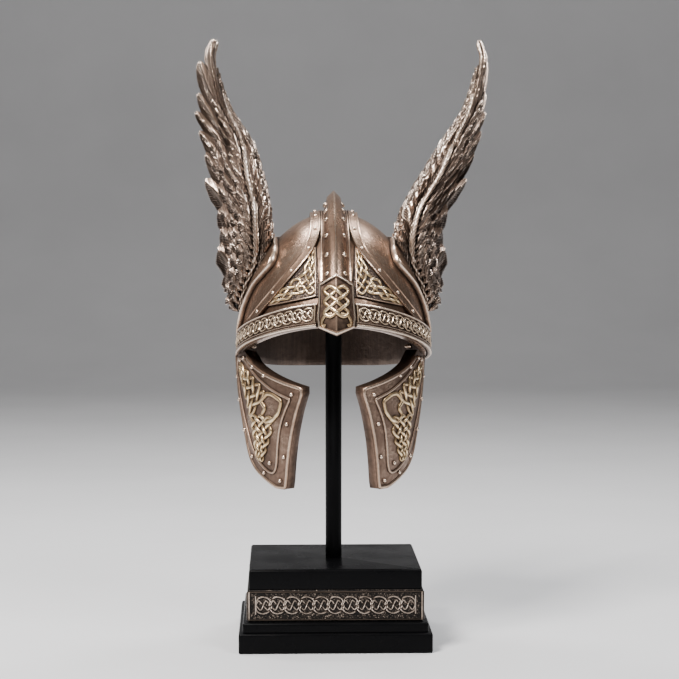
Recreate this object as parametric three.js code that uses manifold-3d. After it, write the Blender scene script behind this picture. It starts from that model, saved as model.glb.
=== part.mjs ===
// A winged norse helmet on a display stand: a hollow dome with a keeled crest, a plaited brow band, riveted
// straps, knotwork panels, feather wings and hanging cheek guards, held up by a pole on a stepped base.
// Millimetres, +Z up. The helmet faces -Y, and left and right are as seen from the front, so left is -X.
import * as THREE from "three";
import { mergeVertices } from "three/addons/utils/BufferGeometryUtils.js";
import Module from "manifold-3d";

const wasm = await Module();
wasm.setup();

const GAP = 0.3; // clearance between neighbouring pieces
const SEAT = 0.4; // height of an applied piece's underside above the dome, past the sag of its facets
const degrees = THREE.MathUtils.degToRad;
const mix = THREE.MathUtils.lerp;

// Stand

const BASE_TIERS = [
  { name: "base_plinth", width: 107, depth: 97.5, bottom: 0, top: 11, chamfer: 1 },
  { name: "base_step", width: 102.5, depth: 93, bottom: 11, top: 16.6, chamfer: 1.2 },
  { name: "base_frieze", width: 98.4, depth: 89, bottom: 16.6, top: 34.4, chamfer: 0.4 },
  { name: "base_block", width: 95.6, depth: 86.2, bottom: 34.4, top: 45.6, chamfer: 1.2 },
];
const BASE_TOP = BASE_TIERS.at(-1).top;
const POLE_RADIUS = 4.6;
const POLE_SIDES = 20;
const POLE_HEADROOM = 0.95; // from the pole's top to the crown's middle inside, past the sag of its facets

// Helmet: the dome is half an ellipsoid, with an upright wall below its widest level

const DOME = { halfWidth: 53, halfLength: 60, height: 77, level: 165, wall: 4.5 };
const DOME_COLUMNS = 40;
const DOME_ROWS = 9;
const RIM = { back: 151, front: 180.5, sharpness: 1.56 }; // the rim climbs from the nape to the brow
const BAND = { height: 12.4, thickness: 2.4, columns: 56 };
const BAND_BROW = 11.6; // degrees at each side of the front that the band leaves to the brow plate

const CREST = { flange: 1.5, lip: 2, topRise: 12.4, frontRise: 4.6, backRise: 3.2, stations: 26 };
const CREST_FROM = 27; // degrees over the dome from the front, inside the brow plate's chevron
const CREST_TO = 176;
const CREST_HALF_WIDTH = { front: 8.6, top: 7.2, back: 7.6 };

const BROW_PLATE = { edge: 3.6, ridge: 7.4, topHalf: 8.9 };
const BROW_PLATE_ROWS = [
  { height: 206.2, corner: 202, share: 1 }, // the top edge is a chevron: corner is its height at the sides
  { height: 195, corner: 194, share: 1.03 },
  { height: 184, corner: 185, share: 1.12 },
  { height: 175.4, corner: 179.6, share: 1.02 },
];

const STRAP = { width: 5.6, thickness: 2.1, stations: 34 };
const STRAP_ROUTE = [
  // x is the distance from the crest's plane, around the angle round the dome from front to back
  { x: 11.2, around: 172 },
  { x: 10.4, around: 120 },
  { x: 10, around: 84 },
  { x: 10, around: 61 },
  { x: 13.2, around: 49.3 },
  { x: 20.5, around: 41.7 },
  { x: 30.5, around: 34.2 },
  { x: 38.5, around: 29.2 },
  { x: 46, around: 24.6 },
];
const KNOT_PANEL = { thickness: 0.9, columns: 5 };
const KNOT_PANEL_PEAK = 56; // degrees over the dome from the front

const WING_PLATE = { thickness: 2.7, columns: 12 };
const WING_PLATE_ROWS = [
  { height: 226.5, front: -9, back: 17 },
  { height: 222, front: -20, back: 27 },
  { height: 217, front: -26, back: 32 },
  { height: 212, front: -28, back: 33 },
  { height: 206.5, front: -25, back: 30.5 },
  { height: 201, front: -20, back: 26 },
  { height: 194, front: -16, back: 22 },
  { height: 186, front: -12, back: 18 },
  { height: 174, front: -9, back: 15 },
];

// Cheek guards: a thick plate bent to an arc in plan, its outline given row by row

const GUARD = { thickness: 7, back: [53.4, 4], front: [12, -57], turn: 45, tuck: 3, columns: 9 };
const GUARDS = [
  { side: -1, name: "cheek_guard_left", out: 2 }, // out: how far outwards a guard sits from its own place
  { side: 1, name: "cheek_guard_right", out: -1.5 },
];
const GUARD_ROWS = [
  // backEdge and frontEdge are distances along the bent plate, from the back of its arc
  { height: 176, backEdge: -1, frontEdge: 12 },
  { height: 166, backEdge: -1, frontEdge: 17 },
  { height: 160, backEdge: -0.5, frontEdge: 24 },
  { height: 154.5, backEdge: 0.2, frontEdge: 39 },
  { height: 150, backEdge: 1.2, frontEdge: 56.5 },
  { height: 147.2, backEdge: 1.8, frontEdge: 70.5 },
  { height: 143.6, backEdge: 2.6, frontEdge: 70.5 },
  { height: 132, backEdge: 7, frontEdge: 65.9 },
  { height: 118, backEdge: 13.2, frontEdge: 61.7 },
  { height: 106, backEdge: 18.5, frontEdge: 59.1 },
  { height: 99, backEdge: 25.5, frontEdge: 57.9 },
  { height: 94.6, backEdge: 35, frontEdge: 57.1 },
  { height: 90.2, backEdge: 47, frontEdge: 55.9 },
];

// Wings: laid out flat, with c the distance behind the leading edge and z the height, then bent into place

const WING_ROOT = 44; // half the distance between the two leading edges where they leave the dome
const WING_SPLAY = 30.5; // degrees that the wing's blade turns out from straight back at its root
const WINGS = [
  // lean is how far out the tip stands, turn how many degrees the blade twists on its way to the tip
  { side: -1, name: "wing_left", lean: -8.8, turn: 6 },
  { side: 1, name: "wing_right", lean: 8.8, turn: -22 },
];
const LEAN_RISE = { from: 226, to: 290 };
const WING_LINE = [
  // out and back place the leading edge; chord, swell and inner give the size of the wing's body
  { z: 186, out: 9.6, back: -3, chord: 9, swell: 0.3, inner: 1 },
  { z: 200, out: 5.6, back: -8, chord: 22, swell: 0.6, inner: 4 },
  { z: 212, out: 0.6, back: -12, chord: 35, swell: 0.9, inner: 8 },
  { z: 224, out: -0.8, back: -13, chord: 38, swell: 1, inner: 11 },
  { z: 238, out: 0.8, back: -11, chord: 37, swell: 1, inner: 12 },
  { z: 252, out: 5, back: -7, chord: 33, swell: 0.88, inner: 12 },
  { z: 268, out: 11.6, back: -1, chord: 28, swell: 0.72, inner: 10.8 },
  { z: 284, out: 18, back: 6, chord: 22, swell: 0.55, inner: 8 },
  { z: 300, out: 26.4, back: 14, chord: 15, swell: 0.4, inner: 4.6 },
  { z: 317, out: 32, back: 22, chord: 9, swell: 0.28, inner: 3 },
  { z: 332, out: 34.6, back: 30, chord: 5, swell: 0.18, inner: 2.2 },
  { z: 342.4, out: 32.2, back: 36, chord: 1.5, swell: 0.12, inner: 1 },
];
const BODY_LEVELS = [188, 196, 204, 213, 222, 232, 244, 256, 268, 282, 296, 310, 323, 335];
const BODY_SECTION = [
  // across is a share of the chord; outward is a height at full swell, inward a share of the inner depth
  { across: 0, outward: 0.5, inward: 0 },
  { across: 0.14, outward: 2.4, inward: 0 },
  { across: 0.5, outward: 2.6, inward: 0 },
  { across: 1, outward: 0.2, inward: 0 },
  { across: 0.62, outward: 0, inward: 0.5 },
  { across: 0.3, outward: 0, inward: 0.95 },
  { across: 0.1, outward: 0, inward: 0.92 },
  { across: 0, outward: 0, inward: 0.5 },
];
const FLIGHT = { outward: 0.6, inward: 0, thickness: 1.5 };
const FLIGHT_FEATHERS = [
  { rootC: 2, rootZ: 276, tipC: 0.5, tipZ: 342.4, width: 7 },
  { rootC: 4, rootZ: 260, tipC: 10.5, tipZ: 329.5, width: 18 },
  { rootC: 5, rootZ: 248, tipC: 20, tipZ: 311, width: 15 },
  { rootC: 5, rootZ: 240, tipC: 30, tipZ: 300.5, width: 18 },
  { rootC: 6, rootZ: 233, tipC: 38, tipZ: 289, width: 18 },
  { rootC: 6, rootZ: 227, tipC: 40.5, tipZ: 276, width: 18 },
  { rootC: 6, rootZ: 219, tipC: 48.5, tipZ: 260.5, width: 17 },
  { rootC: 6, rootZ: 211, tipC: 40, tipZ: 242, width: 16 },
  { rootC: 6, rootZ: 205, tipC: 39, tipZ: 231, width: 15 },
  { rootC: 6, rootZ: 200, tipC: 43, tipZ: 220, width: 15 },
  { rootC: 5, rootZ: 196, tipC: 27, tipZ: 207, width: 13 },
  { rootC: 4, rootZ: 191, tipC: 16, tipZ: 196.5, width: 10 },
];
const COVERT = { outward: 2.6, inward: 0, thickness: 1.5 };
const COVERT_FEATHERS = [
  { rootC: 1, rootZ: 278, tipC: 9, tipZ: 312, width: 7 },
  { rootC: 1, rootZ: 260, tipC: 18, tipZ: 288, width: 9 },
  { rootC: 1, rootZ: 244, tipC: 25, tipZ: 267, width: 11 },
  { rootC: 1, rootZ: 230, tipC: 29, tipZ: 247, width: 12 },
  { rootC: 1, rootZ: 218, tipC: 29, tipZ: 229, width: 12 },
  { rootC: 1, rootZ: 207, tipC: 24, tipZ: 213, width: 11 },
];
const INNER = { outward: 0, inward: 0.8, thickness: 1.7 };
const INNER_FEATHERS = [
  { rootC: 2, rootZ: 280, tipC: 8, tipZ: 310, width: 8 },
  { rootC: 3, rootZ: 260, tipC: 15, tipZ: 291, width: 10 },
  { rootC: 4, rootZ: 242, tipC: 22, tipZ: 272, width: 12 },
  { rootC: 5, rootZ: 226, tipC: 27, tipZ: 252, width: 12 },
];
const FEATHER_SHAPE = [
  { along: 0, wide: 0.5 },
  { along: 0.3, wide: 0.9 },
  { along: 0.62, wide: 1 },
  { along: 0.86, wide: 0.72 },
  { along: 1, wide: 0.16 },
];

// Materials

const bronze = new THREE.MeshStandardMaterial({ color: 0x7d6250, roughness: 0.42, metalness: 0.85 });
const darkBronze = new THREE.MeshStandardMaterial({ color: 0x5a463a, roughness: 0.5, metalness: 0.8 });
const feather = new THREE.MeshStandardMaterial({ color: 0x86705f, roughness: 0.48, metalness: 0.8 });
const black = new THREE.MeshStandardMaterial({ color: 0x121214, roughness: 0.35, metalness: 0.1 });
const frieze = new THREE.MeshStandardMaterial({ color: 0x4a3b30, roughness: 0.5, metalness: 0.75 });

const helmet = new THREE.Group();

function addPiece(name, geometry, material) {
  const mesh = new THREE.Mesh(geometry, material);
  mesh.name = name;
  helmet.add(mesh);
}

// Closed meshes and booleans

function signedVolume(points, triangles) {
  return triangles.reduce(
    (sum, [a, b, c]) => sum + points[a].dot(new THREE.Vector3().crossVectors(points[b], points[c])) / 6,
    0,
  );
}

// A closed geometry from points and faces of three or four corners, turned so that its faces point out.
function closedGeometry(points, faces) {
  const triangles = faces.flatMap(([a, b, c, d]) =>
    d === undefined ? [[a, b, c]] : [[a, b, c], [a, c, d]],
  );
  const inside = signedVolume(points, triangles) < 0;
  const index = triangles.flatMap(([a, b, c]) => (inside ? [a, c, b] : [a, b, c]));
  const geometry = new THREE.BufferGeometry();
  const numbers = points.flatMap((p) => [p.x, p.y, p.z]);
  geometry.setAttribute("position", new THREE.Float32BufferAttribute(numbers, 3));
  geometry.setIndex(index);
  return geometry;
}

// A solid through rings of points, with its two ends closed by fans.
function loft(rings) {
  const count = rings[0].length;
  const points = rings.flat();
  const faces = [];
  for (let r = 0; r + 1 < rings.length; r++) {
    for (let i = 0; i < count; i++) {
      const next = (i + 1) % count;
      faces.push([r * count + i, r * count + next, (r + 1) * count + next, (r + 1) * count + i]);
    }
  }
  for (const ring of [rings[0], rings.at(-1)]) {
    const centre = ring.reduce((sum, p) => sum.add(p), new THREE.Vector3()).divideScalar(count);
    const hub = points.push(centre) - 1;
    const first = ring === rings[0] ? 0 : (rings.length - 1) * count;
    for (let i = 0; i < count; i++) {
      const next = (i + 1) % count;
      faces.push(ring === rings[0] ? [hub, first + next, first + i] : [hub, first + i, first + next]);
    }
  }
  return closedGeometry(points, faces);
}

// A plate between an outer and an inner grid of points, closed along its four edges.
function plate(outer, inner) {
  const rings = outer.map((row, r) => [...row, ...inner[r].slice().reverse()]);
  const count = rings[0].length;
  const half = count / 2;
  const points = rings.flat();
  const faces = [];
  for (let r = 0; r + 1 < rings.length; r++) {
    for (let i = 0; i < count; i++) {
      const next = (i + 1) % count;
      faces.push([r * count + i, r * count + next, (r + 1) * count + next, (r + 1) * count + i]);
    }
  }
  const last = (rings.length - 1) * count;
  for (let i = 0; i + 1 < half; i++) {
    const across = count - 1 - i;
    faces.push([across, across - 1, i + 1, i]);
    faces.push([last + i, last + i + 1, last + across - 1, last + across]);
  }
  return closedGeometry(points, faces);
}

function toSolid(geometry) {
  const bare = geometry.clone();
  bare.deleteAttribute("normal");
  bare.deleteAttribute("uv");
  const merged = mergeVertices(bare);
  return new wasm.Manifold(
    new wasm.Mesh({
      numProp: 3,
      vertProperties: merged.attributes.position.array,
      triVerts: new Uint32Array(merged.index.array),
    }),
  );
}

function toGeometry(solid) {
  const mesh = solid.getMesh();
  const geometry = new THREE.BufferGeometry();
  geometry.setAttribute("position", new THREE.BufferAttribute(mesh.vertProperties, 3));
  geometry.setIndex(new THREE.BufferAttribute(mesh.triVerts, 1));
  return geometry;
}

// The largest body of a solid, without the slivers that a cut leaves.
function mainBody(solid) {
  return solid.decompose().reduce((best, body) => (body.volume() > best.volume() ? body : best));
}

// The value of a column at a place in a table, on a smooth curve through its rows.
function along(table, key, column, at) {
  const last = table.length - 1;
  const rising = table[last][key] > table[0][key];
  let i = table.findIndex((row) => (rising ? row[key] > at : row[key] < at)) - 1;
  if (i === -2) i = last - 1;
  i = THREE.MathUtils.clamp(i, 0, last - 1);
  const rowAt = (k) => table[THREE.MathUtils.clamp(k, 0, last)];
  const [before, from, to, after] = [i - 1, i, i + 1, i + 2].map(rowAt);
  const span = to[key] - from[key];
  const t = THREE.MathUtils.clamp((at - from[key]) / span, 0, 1);
  const slopeFrom = (to[column] - before[column]) / (to[key] - before[key]);
  const slopeTo = (after[column] - from[column]) / (after[key] - from[key]);
  const curve = 2 * t ** 3 - 3 * t ** 2 + 1;
  return (
    curve * from[column] +
    (t ** 3 - 2 * t ** 2 + t) * span * slopeFrom +
    (1 - curve) * to[column] +
    (t ** 3 - t ** 2) * span * slopeTo
  );
}

// Places on the dome

function liftedPoint(x, y, z, lift) {
  const up = Math.max(0, z - DOME.level);
  const { halfWidth, halfLength, height } = DOME;
  const normal = new THREE.Vector3(x / halfWidth ** 2, y / halfLength ** 2, up / height ** 2).normalize();
  return new THREE.Vector3(x, y, z).addScaledVector(normal, lift);
}

// By angle round the vertical axis from the front, towards +X, and height.
function onWall(turn, height, lift) {
  const up = Math.max(0, (height - DOME.level) / DOME.height);
  const reach = Math.sqrt(Math.max(0, 1 - up * up));
  return liftedPoint(
    DOME.halfWidth * reach * Math.sin(turn),
    -DOME.halfLength * reach * Math.cos(turn),
    height,
    lift,
  );
}

// By distance from the crest's plane and angle round the dome from the front, over the top, to the back.
function overTop(x, around, lift) {
  const shrink = Math.sqrt(1 - (x / DOME.halfWidth) ** 2);
  return liftedPoint(
    x,
    -shrink * DOME.halfLength * Math.cos(around),
    DOME.level + shrink * DOME.height * Math.sin(around),
    lift,
  );
}

// By the place seen from the side.
function fromSide(side, y, z, lift) {
  const up = Math.max(0, z - DOME.level) / DOME.height;
  const x = DOME.halfWidth * Math.sqrt(1 - (y / DOME.halfLength) ** 2 - up * up);
  return liftedPoint(side * x, y, z, lift);
}

// By distance from the crest's plane and height, on the front.
function onBrow(x, height, lift) {
  const up = (height - DOME.level) / DOME.height;
  const y = -DOME.halfLength * Math.sqrt(1 - (x / DOME.halfWidth) ** 2 - up * up);
  return liftedPoint(x, y, height, lift);
}

function rimHeight(turn) {
  return RIM.back + (RIM.front - RIM.back) * ((1 + Math.cos(turn)) / 2) ** RIM.sharpness;
}

function steps(count, from, to) {
  return Array.from({ length: count + 1 }, (_, i) => mix(from, to, i / count));
}

// Stand pieces

function baseTier({ width, depth, bottom, top, chamfer }) {
  const ring = (inset, height) =>
    [[-1, -1], [1, -1], [1, 1], [-1, 1]].map(
      ([x, y]) => new THREE.Vector3(x * (width / 2 - inset), y * (depth / 2 - inset), height),
    );
  return loft([ring(0, bottom), ring(0, top - chamfer), ring(chamfer, top)]);
}

function pole() {
  const bottom = BASE_TOP + GAP;
  const top = DOME.level + DOME.height - DOME.wall - POLE_HEADROOM;
  const geometry = new THREE.CylinderGeometry(POLE_RADIUS, POLE_RADIUS, top - bottom, POLE_SIDES);
  return geometry.rotateX(Math.PI / 2).translate(0, 0, (top + bottom) / 2);
}

// Helmet pieces

// The dome's wall: rings from the rim to the crown outside, then back down inside, closed at the two poles.
function dome() {
  const points = [];
  const faces = [];
  const ringOf = (share, lift) => {
    for (let i = 0; i < DOME_COLUMNS; i++) {
      const turn = (i / DOME_COLUMNS) * 2 * Math.PI;
      const rim = Math.asin((rimHeight(turn) - DOME.level) / DOME.height);
      points.push(onWall(turn, DOME.level + DOME.height * Math.sin(mix(rim, Math.PI / 2, share)), lift));
    }
  };
  const shares = steps(DOME_ROWS, 0, 1).slice(0, -1);
  shares.slice().reverse().forEach((share) => ringOf(share, -DOME.wall));
  shares.forEach((share) => ringOf(share, 0));
  const rings = 2 * shares.length;
  for (let r = 0; r + 1 < rings; r++) {
    for (let i = 0; i < DOME_COLUMNS; i++) {
      const next = (i + 1) % DOME_COLUMNS;
      const [low, high] = [r * DOME_COLUMNS, (r + 1) * DOME_COLUMNS];
      faces.push([low + i, low + next, high + next, high + i]);
    }
  }
  const crown = DOME.level + DOME.height;
  const inside = points.push(new THREE.Vector3(0, 0, crown - DOME.wall)) - 1;
  const outside = points.push(new THREE.Vector3(0, 0, crown)) - 1;
  const last = (rings - 1) * DOME_COLUMNS;
  for (let i = 0; i < DOME_COLUMNS; i++) {
    const next = (i + 1) % DOME_COLUMNS;
    faces.push([inside, next, i]);
    faces.push([outside, last + i, last + next]);
  }
  return closedGeometry(points, faces);
}

// A strip round the rim between two heights above it, from one side of the brow plate round to the other.
function rimStrip(halfGap, low, high, liftIn, liftOut) {
  const rings = steps(BAND.columns, degrees(halfGap), 2 * Math.PI - degrees(halfGap)).map((turn) => {
    const rim = rimHeight(turn);
    return [
      onWall(turn, rim + low, liftIn),
      onWall(turn, rim + low, liftOut),
      onWall(turn, rim + high, liftOut),
      onWall(turn, rim + high, liftIn),
    ];
  });
  return loft(rings);
}

// The space that the band takes, with its clearance, to cut its neighbours by.
function bandSpace() {
  return toSolid(rimStrip(0.01, -40, BAND.height + GAP, -6, 9));
}

// The space over the rim, to trim what hangs below it.
function rimSpace() {
  return toSolid(rimStrip(0.01, -GAP, 40, -20, 12));
}

function crestRise(around) {
  const { topRise, frontRise, backRise } = CREST;
  const low = around < Math.PI / 2 ? frontRise : backRise;
  return low + (topRise - low) * Math.sin(around) ** 3;
}

function crestHalfWidth(around) {
  const low = around < Math.PI / 2 ? CREST_HALF_WIDTH.front : CREST_HALF_WIDTH.back;
  return mix(low, CREST_HALF_WIDTH.top, Math.sin(around) ** 2);
}

// The keeled crest: a flange at each side, then two sloping faces up to the keel.
function crest(grow = 0) {
  const rings = steps(CREST.stations, degrees(CREST_FROM), degrees(CREST_TO)).map((around) => {
    const half = crestHalfWidth(around) + grow;
    const rise = crestRise(around) + grow;
    const base = grow ? -2 : SEAT;
    const side = (sign) => [
      overTop(sign * half, around, base),
      overTop(sign * half, around, CREST.flange + grow),
      overTop(sign * (half - CREST.lip), around, CREST.flange + grow),
      overTop(sign * half * 0.42, around, rise * 0.72),
    ];
    return [...side(-1), overTop(0, around, rise), ...side(1).reverse(), overTop(0, around, base)];
  });
  return loft(rings);
}

// The roof-shaped plate at the foot of the crest, with a chevron top and a blunt point below the rim.
function browPlate(grow = 0) {
  const shares = [-1, -0.5, 0, 0.5, 1];
  const rowPoints = (row, thickness) =>
    shares.map((s) => {
      const height = mix(row.height, row.corner, Math.abs(s)) + grow;
      const half = BROW_PLATE.topHalf * row.share + 2 * grow;
      return onBrow(s * half, height, thickness(1 - Math.abs(s)));
    });
  const outer = BROW_PLATE_ROWS.map((row) =>
    rowPoints(row, (middle) => mix(BROW_PLATE.edge, BROW_PLATE.ridge, middle) + 9 * grow),
  );
  const inner = BROW_PLATE_ROWS.map((row) => rowPoints(row, () => (grow ? -2 : SEAT)));
  return plate(outer, inner);
}

// Centre line of a strap on one side, from the nape along the crest and down to the band.
function strapRoute(side) {
  const curve = new THREE.CatmullRomCurve3(
    STRAP_ROUTE.map(({ x, around }) => new THREE.Vector3(x, around, 0)),
    false,
    "centripetal",
  );
  return curve.getPoints(STRAP.stations).map((p) => ({ x: side * p.x, around: degrees(p.y) }));
}

function strap(side, grow = 0) {
  const route = strapRoute(side);
  const half = STRAP.width / 2 + grow;
  const base = grow ? -2 : SEAT;
  const rings = route.map((place, i) => {
    const before = route[Math.max(0, i - 1)];
    const after = route[Math.min(route.length - 1, i + 1)];
    const here = overTop(place.x, place.around, 0);
    const ahead = overTop(after.x, after.around, 0).sub(overTop(before.x, before.around, 0)).normalize();
    const normal = overTop(place.x, place.around, 1).sub(here);
    const across = new THREE.Vector3().crossVectors(ahead, normal).normalize();
    const corner = (sign, lift) => {
      const p = here.clone().addScaledVector(across, sign * half);
      const z = Math.max(DOME.level, p.z);
      const scale = Math.hypot(p.x / DOME.halfWidth, p.y / DOME.halfLength, (z - DOME.level) / DOME.height);
      return liftedPoint(p.x / scale, p.y / scale, DOME.level + (z - DOME.level) / scale, lift);
    };
    const top = STRAP.thickness + SEAT + grow;
    return [corner(-1, base), corner(-1, top), corner(1, top), corner(1, base)];
  });
  return loft(rings);
}

// The three-cornered panel between crest, strap and band: rows from the crest's plane out to the strap.
function knotPanel(side) {
  const route = strapRoute(side).filter(({ around }) => around < degrees(KNOT_PANEL_PEAK));
  const grid = (lift) =>
    route.map(({ x, around }) => {
      const z = overTop(x, around, 0).z;
      return steps(KNOT_PANEL.columns, side * 3, x).map((across) => onBrow(across, z, lift));
    });
  return plate(grid(SEAT + KNOT_PANEL.thickness), grid(SEAT));
}

function wingPlate(side) {
  const grid = (lift) =>
    WING_PLATE_ROWS.map(({ height, front, back }) =>
      steps(WING_PLATE.columns, front, back).map((y) => fromSide(side, y, height, lift)),
    );
  return plate(grid(SEAT + WING_PLATE.thickness), grid(SEAT));
}

// A place on a cheek guard: distance along its arc from the back, height, and depth in from its outer face.
function onGuard({ side, out }, distance, height, depth) {
  const [back, front] = [GUARD.back, GUARD.front].map(([x, y]) => new THREE.Vector2(x, y));
  const chord = front.clone().sub(back);
  const turn = degrees(GUARD.turn);
  const radius = chord.length() / (2 * Math.sin(turn / 2));
  const chordTurn = Math.atan2(-chord.x, -chord.y); // heading inwards from straight ahead
  const heading = chordTurn - turn / 2 + distance / radius;
  const start = chordTurn - turn / 2;
  const x = back.x - radius * (Math.cos(start) - Math.cos(heading));
  const y = back.y - radius * (Math.sin(heading) - Math.sin(start));
  const outward = new THREE.Vector2(Math.cos(heading), -Math.sin(heading));
  const low = (GUARD_ROWS[0].height - height) / (GUARD_ROWS[0].height - GUARD_ROWS.at(-1).height);
  const inset = depth + GUARD.tuck * low * low;
  return new THREE.Vector3(side * (x + out - outward.x * inset), y - outward.y * inset, height);
}

function cheekGuard(guard) {
  const grid = (depth) =>
    GUARD_ROWS.map(({ height, backEdge, frontEdge }) =>
      steps(GUARD.columns, backEdge, frontEdge).map((d) => onGuard(guard, d, height, depth)),
    );
  return plate(grid(0), grid(GUARD.thickness));
}

// Wings

// A place on a wing: c behind its leading edge, z up, and h out from the blade's plane.
function onWing({ side, lean, turn }, c, z, h) {
  const rise = THREE.MathUtils.smoothstep(z, LEAN_RISE.from, LEAN_RISE.to);
  const span = (z - WING_LINE[0].z) / (WING_LINE.at(-1).z - WING_LINE[0].z);
  const x = WING_ROOT + along(WING_LINE, "z", "out", z) + lean * rise;
  const y = along(WING_LINE, "z", "back", z);
  const splay = degrees(WING_SPLAY + turn * span * span);
  return new THREE.Vector3(
    side * (x + c * Math.sin(splay) + h * Math.cos(splay)),
    y + c * Math.cos(splay) - h * Math.sin(splay),
    z,
  );
}

function wingBody(wing) {
  const rings = BODY_LEVELS.map((z) => {
    const chord = along(WING_LINE, "z", "chord", z);
    const swell = along(WING_LINE, "z", "swell", z);
    const inner = along(WING_LINE, "z", "inner", z);
    return BODY_SECTION.map(({ across, outward, inward }) =>
      onWing(wing, across * chord, z, outward * swell - inward * inner),
    );
  });
  return loft(rings);
}

// One feather: a blade with a low ridge on both faces, straight in the wing's flat layout.
function featherBlade(wing, { rootC, rootZ, tipC, tipZ, width }, { outward, inward, thickness }) {
  const length = Math.hypot(tipC - rootC, tipZ - rootZ);
  const ahead = { c: (tipC - rootC) / length, z: (tipZ - rootZ) / length };
  const rings = FEATHER_SHAPE.map(({ along: share, wide }) => {
    const c = mix(rootC, tipC, share);
    const z = mix(rootZ, tipZ, share);
    const swell = along(WING_LINE, "z", "swell", z);
    const height = outward * mix(swell, 1, share * 0.3) - inward * along(WING_LINE, "z", "inner", z);
    const half = (width / 2) * wide;
    const ridge = thickness * mix(1, 0.5, share);
    return [
      onWing(wing, c - ahead.z * half, z + ahead.c * half, height),
      onWing(wing, c, z, height + ridge),
      onWing(wing, c + ahead.z * half, z - ahead.c * half, height),
      onWing(wing, c, z, height - ridge),
    ];
  });
  return loft(rings);
}

// The dome with its wing plate, swollen by the clearance, which the wing's root sits against.
function wingSeat() {
  const lift = SEAT + WING_PLATE.thickness + 1.5 * GAP;
  const [low, high] = [degrees(-12), degrees(76)];
  const rings = steps(14, low, high).map((slope) =>
    steps(47, 0, 2 * Math.PI * (47 / 48)).map((turn) =>
      onWall(turn, DOME.level + DOME.height * Math.sin(slope), lift),
    ),
  );
  return toSolid(loft(rings));
}

function wing(sideways) {
  const rows = [
    [FLIGHT_FEATHERS, FLIGHT],
    [COVERT_FEATHERS, COVERT],
    [INNER_FEATHERS, INNER],
  ];
  const blades = rows.flatMap(([feathers, row]) => feathers.map((f) => featherBlade(sideways, f, row)));
  const whole = blades.reduce((sum, blade) => sum.add(toSolid(blade)), toSolid(wingBody(sideways)));
  return toGeometry(mainBody(whole.subtract(wingSeat())));
}

// Assembly

for (const tier of BASE_TIERS) {
  addPiece(tier.name, baseTier(tier), tier.name === "base_frieze" ? frieze : black);
}
addPiece("pole", pole(), black);
addPiece("dome", dome(), bronze);
addPiece("brow_band", rimStrip(BAND_BROW, 0, BAND.height, SEAT, SEAT + BAND.thickness), darkBronze);
const browSpace = bandSpace().add(toSolid(browPlate(1.2 * GAP)));
addPiece("crest", toGeometry(mainBody(toSolid(crest()).subtract(browSpace))), bronze);
addPiece("brow_plate", browPlate(), darkBronze);
for (const [side, word] of [[-1, "left"], [1, "right"]]) {
  const beside = toSolid(crest(GAP)).add(browSpace);
  const strapSpace = toSolid(strap(side, GAP));
  addPiece(`strap_${word}`, toGeometry(mainBody(toSolid(strap(side)).subtract(beside))), bronze);
  const panel = toSolid(knotPanel(side)).subtract(beside).subtract(strapSpace);
  addPiece(`knot_panel_${word}`, toGeometry(mainBody(panel)), darkBronze);
  const seat = toSolid(wingPlate(side)).subtract(bandSpace()).subtract(strapSpace);
  addPiece(`wing_plate_${word}`, toGeometry(mainBody(seat)), bronze);
}
for (const guard of GUARDS) {
  addPiece(guard.name, toGeometry(mainBody(toSolid(cheekGuard(guard)).subtract(rimSpace()))), bronze);
}
for (const sideways of WINGS) addPiece(sideways.name, wing(sideways), feather);

export default helmet;
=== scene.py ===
"""A winged norse helmet on a display stand: aged bronze with rubbed highlights, pale gold knotwork, feathered wings,
a black pole and a stepped black base with a plaited frieze. Lengths are worked out in millimetres in the part's frame
and turned into metres when a mesh is made. The helmet faces -Y, and left is -X."""

from math import asin, atan, atan2, cos, exp, hypot, pi, radians, sin, sqrt

import bmesh
import bpy
import numpy as np
from mathutils import Matrix


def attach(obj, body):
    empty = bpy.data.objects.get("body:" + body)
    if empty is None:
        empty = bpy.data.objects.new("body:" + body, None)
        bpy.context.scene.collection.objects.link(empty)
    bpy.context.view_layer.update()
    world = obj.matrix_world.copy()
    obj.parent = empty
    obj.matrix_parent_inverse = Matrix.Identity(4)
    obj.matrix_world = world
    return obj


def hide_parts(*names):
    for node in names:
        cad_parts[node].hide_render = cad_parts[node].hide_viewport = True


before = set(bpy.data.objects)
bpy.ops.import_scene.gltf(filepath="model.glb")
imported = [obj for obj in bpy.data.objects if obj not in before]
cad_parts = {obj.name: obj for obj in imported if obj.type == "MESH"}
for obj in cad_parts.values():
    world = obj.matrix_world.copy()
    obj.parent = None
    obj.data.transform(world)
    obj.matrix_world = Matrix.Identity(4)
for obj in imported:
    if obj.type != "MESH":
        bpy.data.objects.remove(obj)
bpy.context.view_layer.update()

# Sizes

SEAT = 0.4  # gap under an applied piece
DOME_A, DOME_B, DOME_H, DOME_LEVEL, DOME_WALL = 53.0, 60.0, 77.0, 165.0, 4.5
RIM_BACK, RIM_FRONT, RIM_SHARP = 151.0, 180.5, 1.56
BAND_HEIGHT, BAND_BROW = 12.4, 11.6
BASE_TOP = 45.6
POLE_RADIUS = 4.6
CREST_FROM, CREST_TO = 31.0, 176.0  # angles over the top

SIDES = {"left": -1, "right": 1}
WING_ROOT, WING_SPLAY = 44.0, 30.5
WINGS = {"left": (-1, -8.8, 6.0), "right": (1, 8.8, -22.0)}  # side, lean, turn
GUARDS = {"left": (-1, 2.0), "right": (1, -1.5)}  # side, out


def table(columns, *rows):
    """Columns of numbers by name."""
    return {name: [row[i] for row in rows] for i, name in enumerate(columns.split())}


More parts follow.
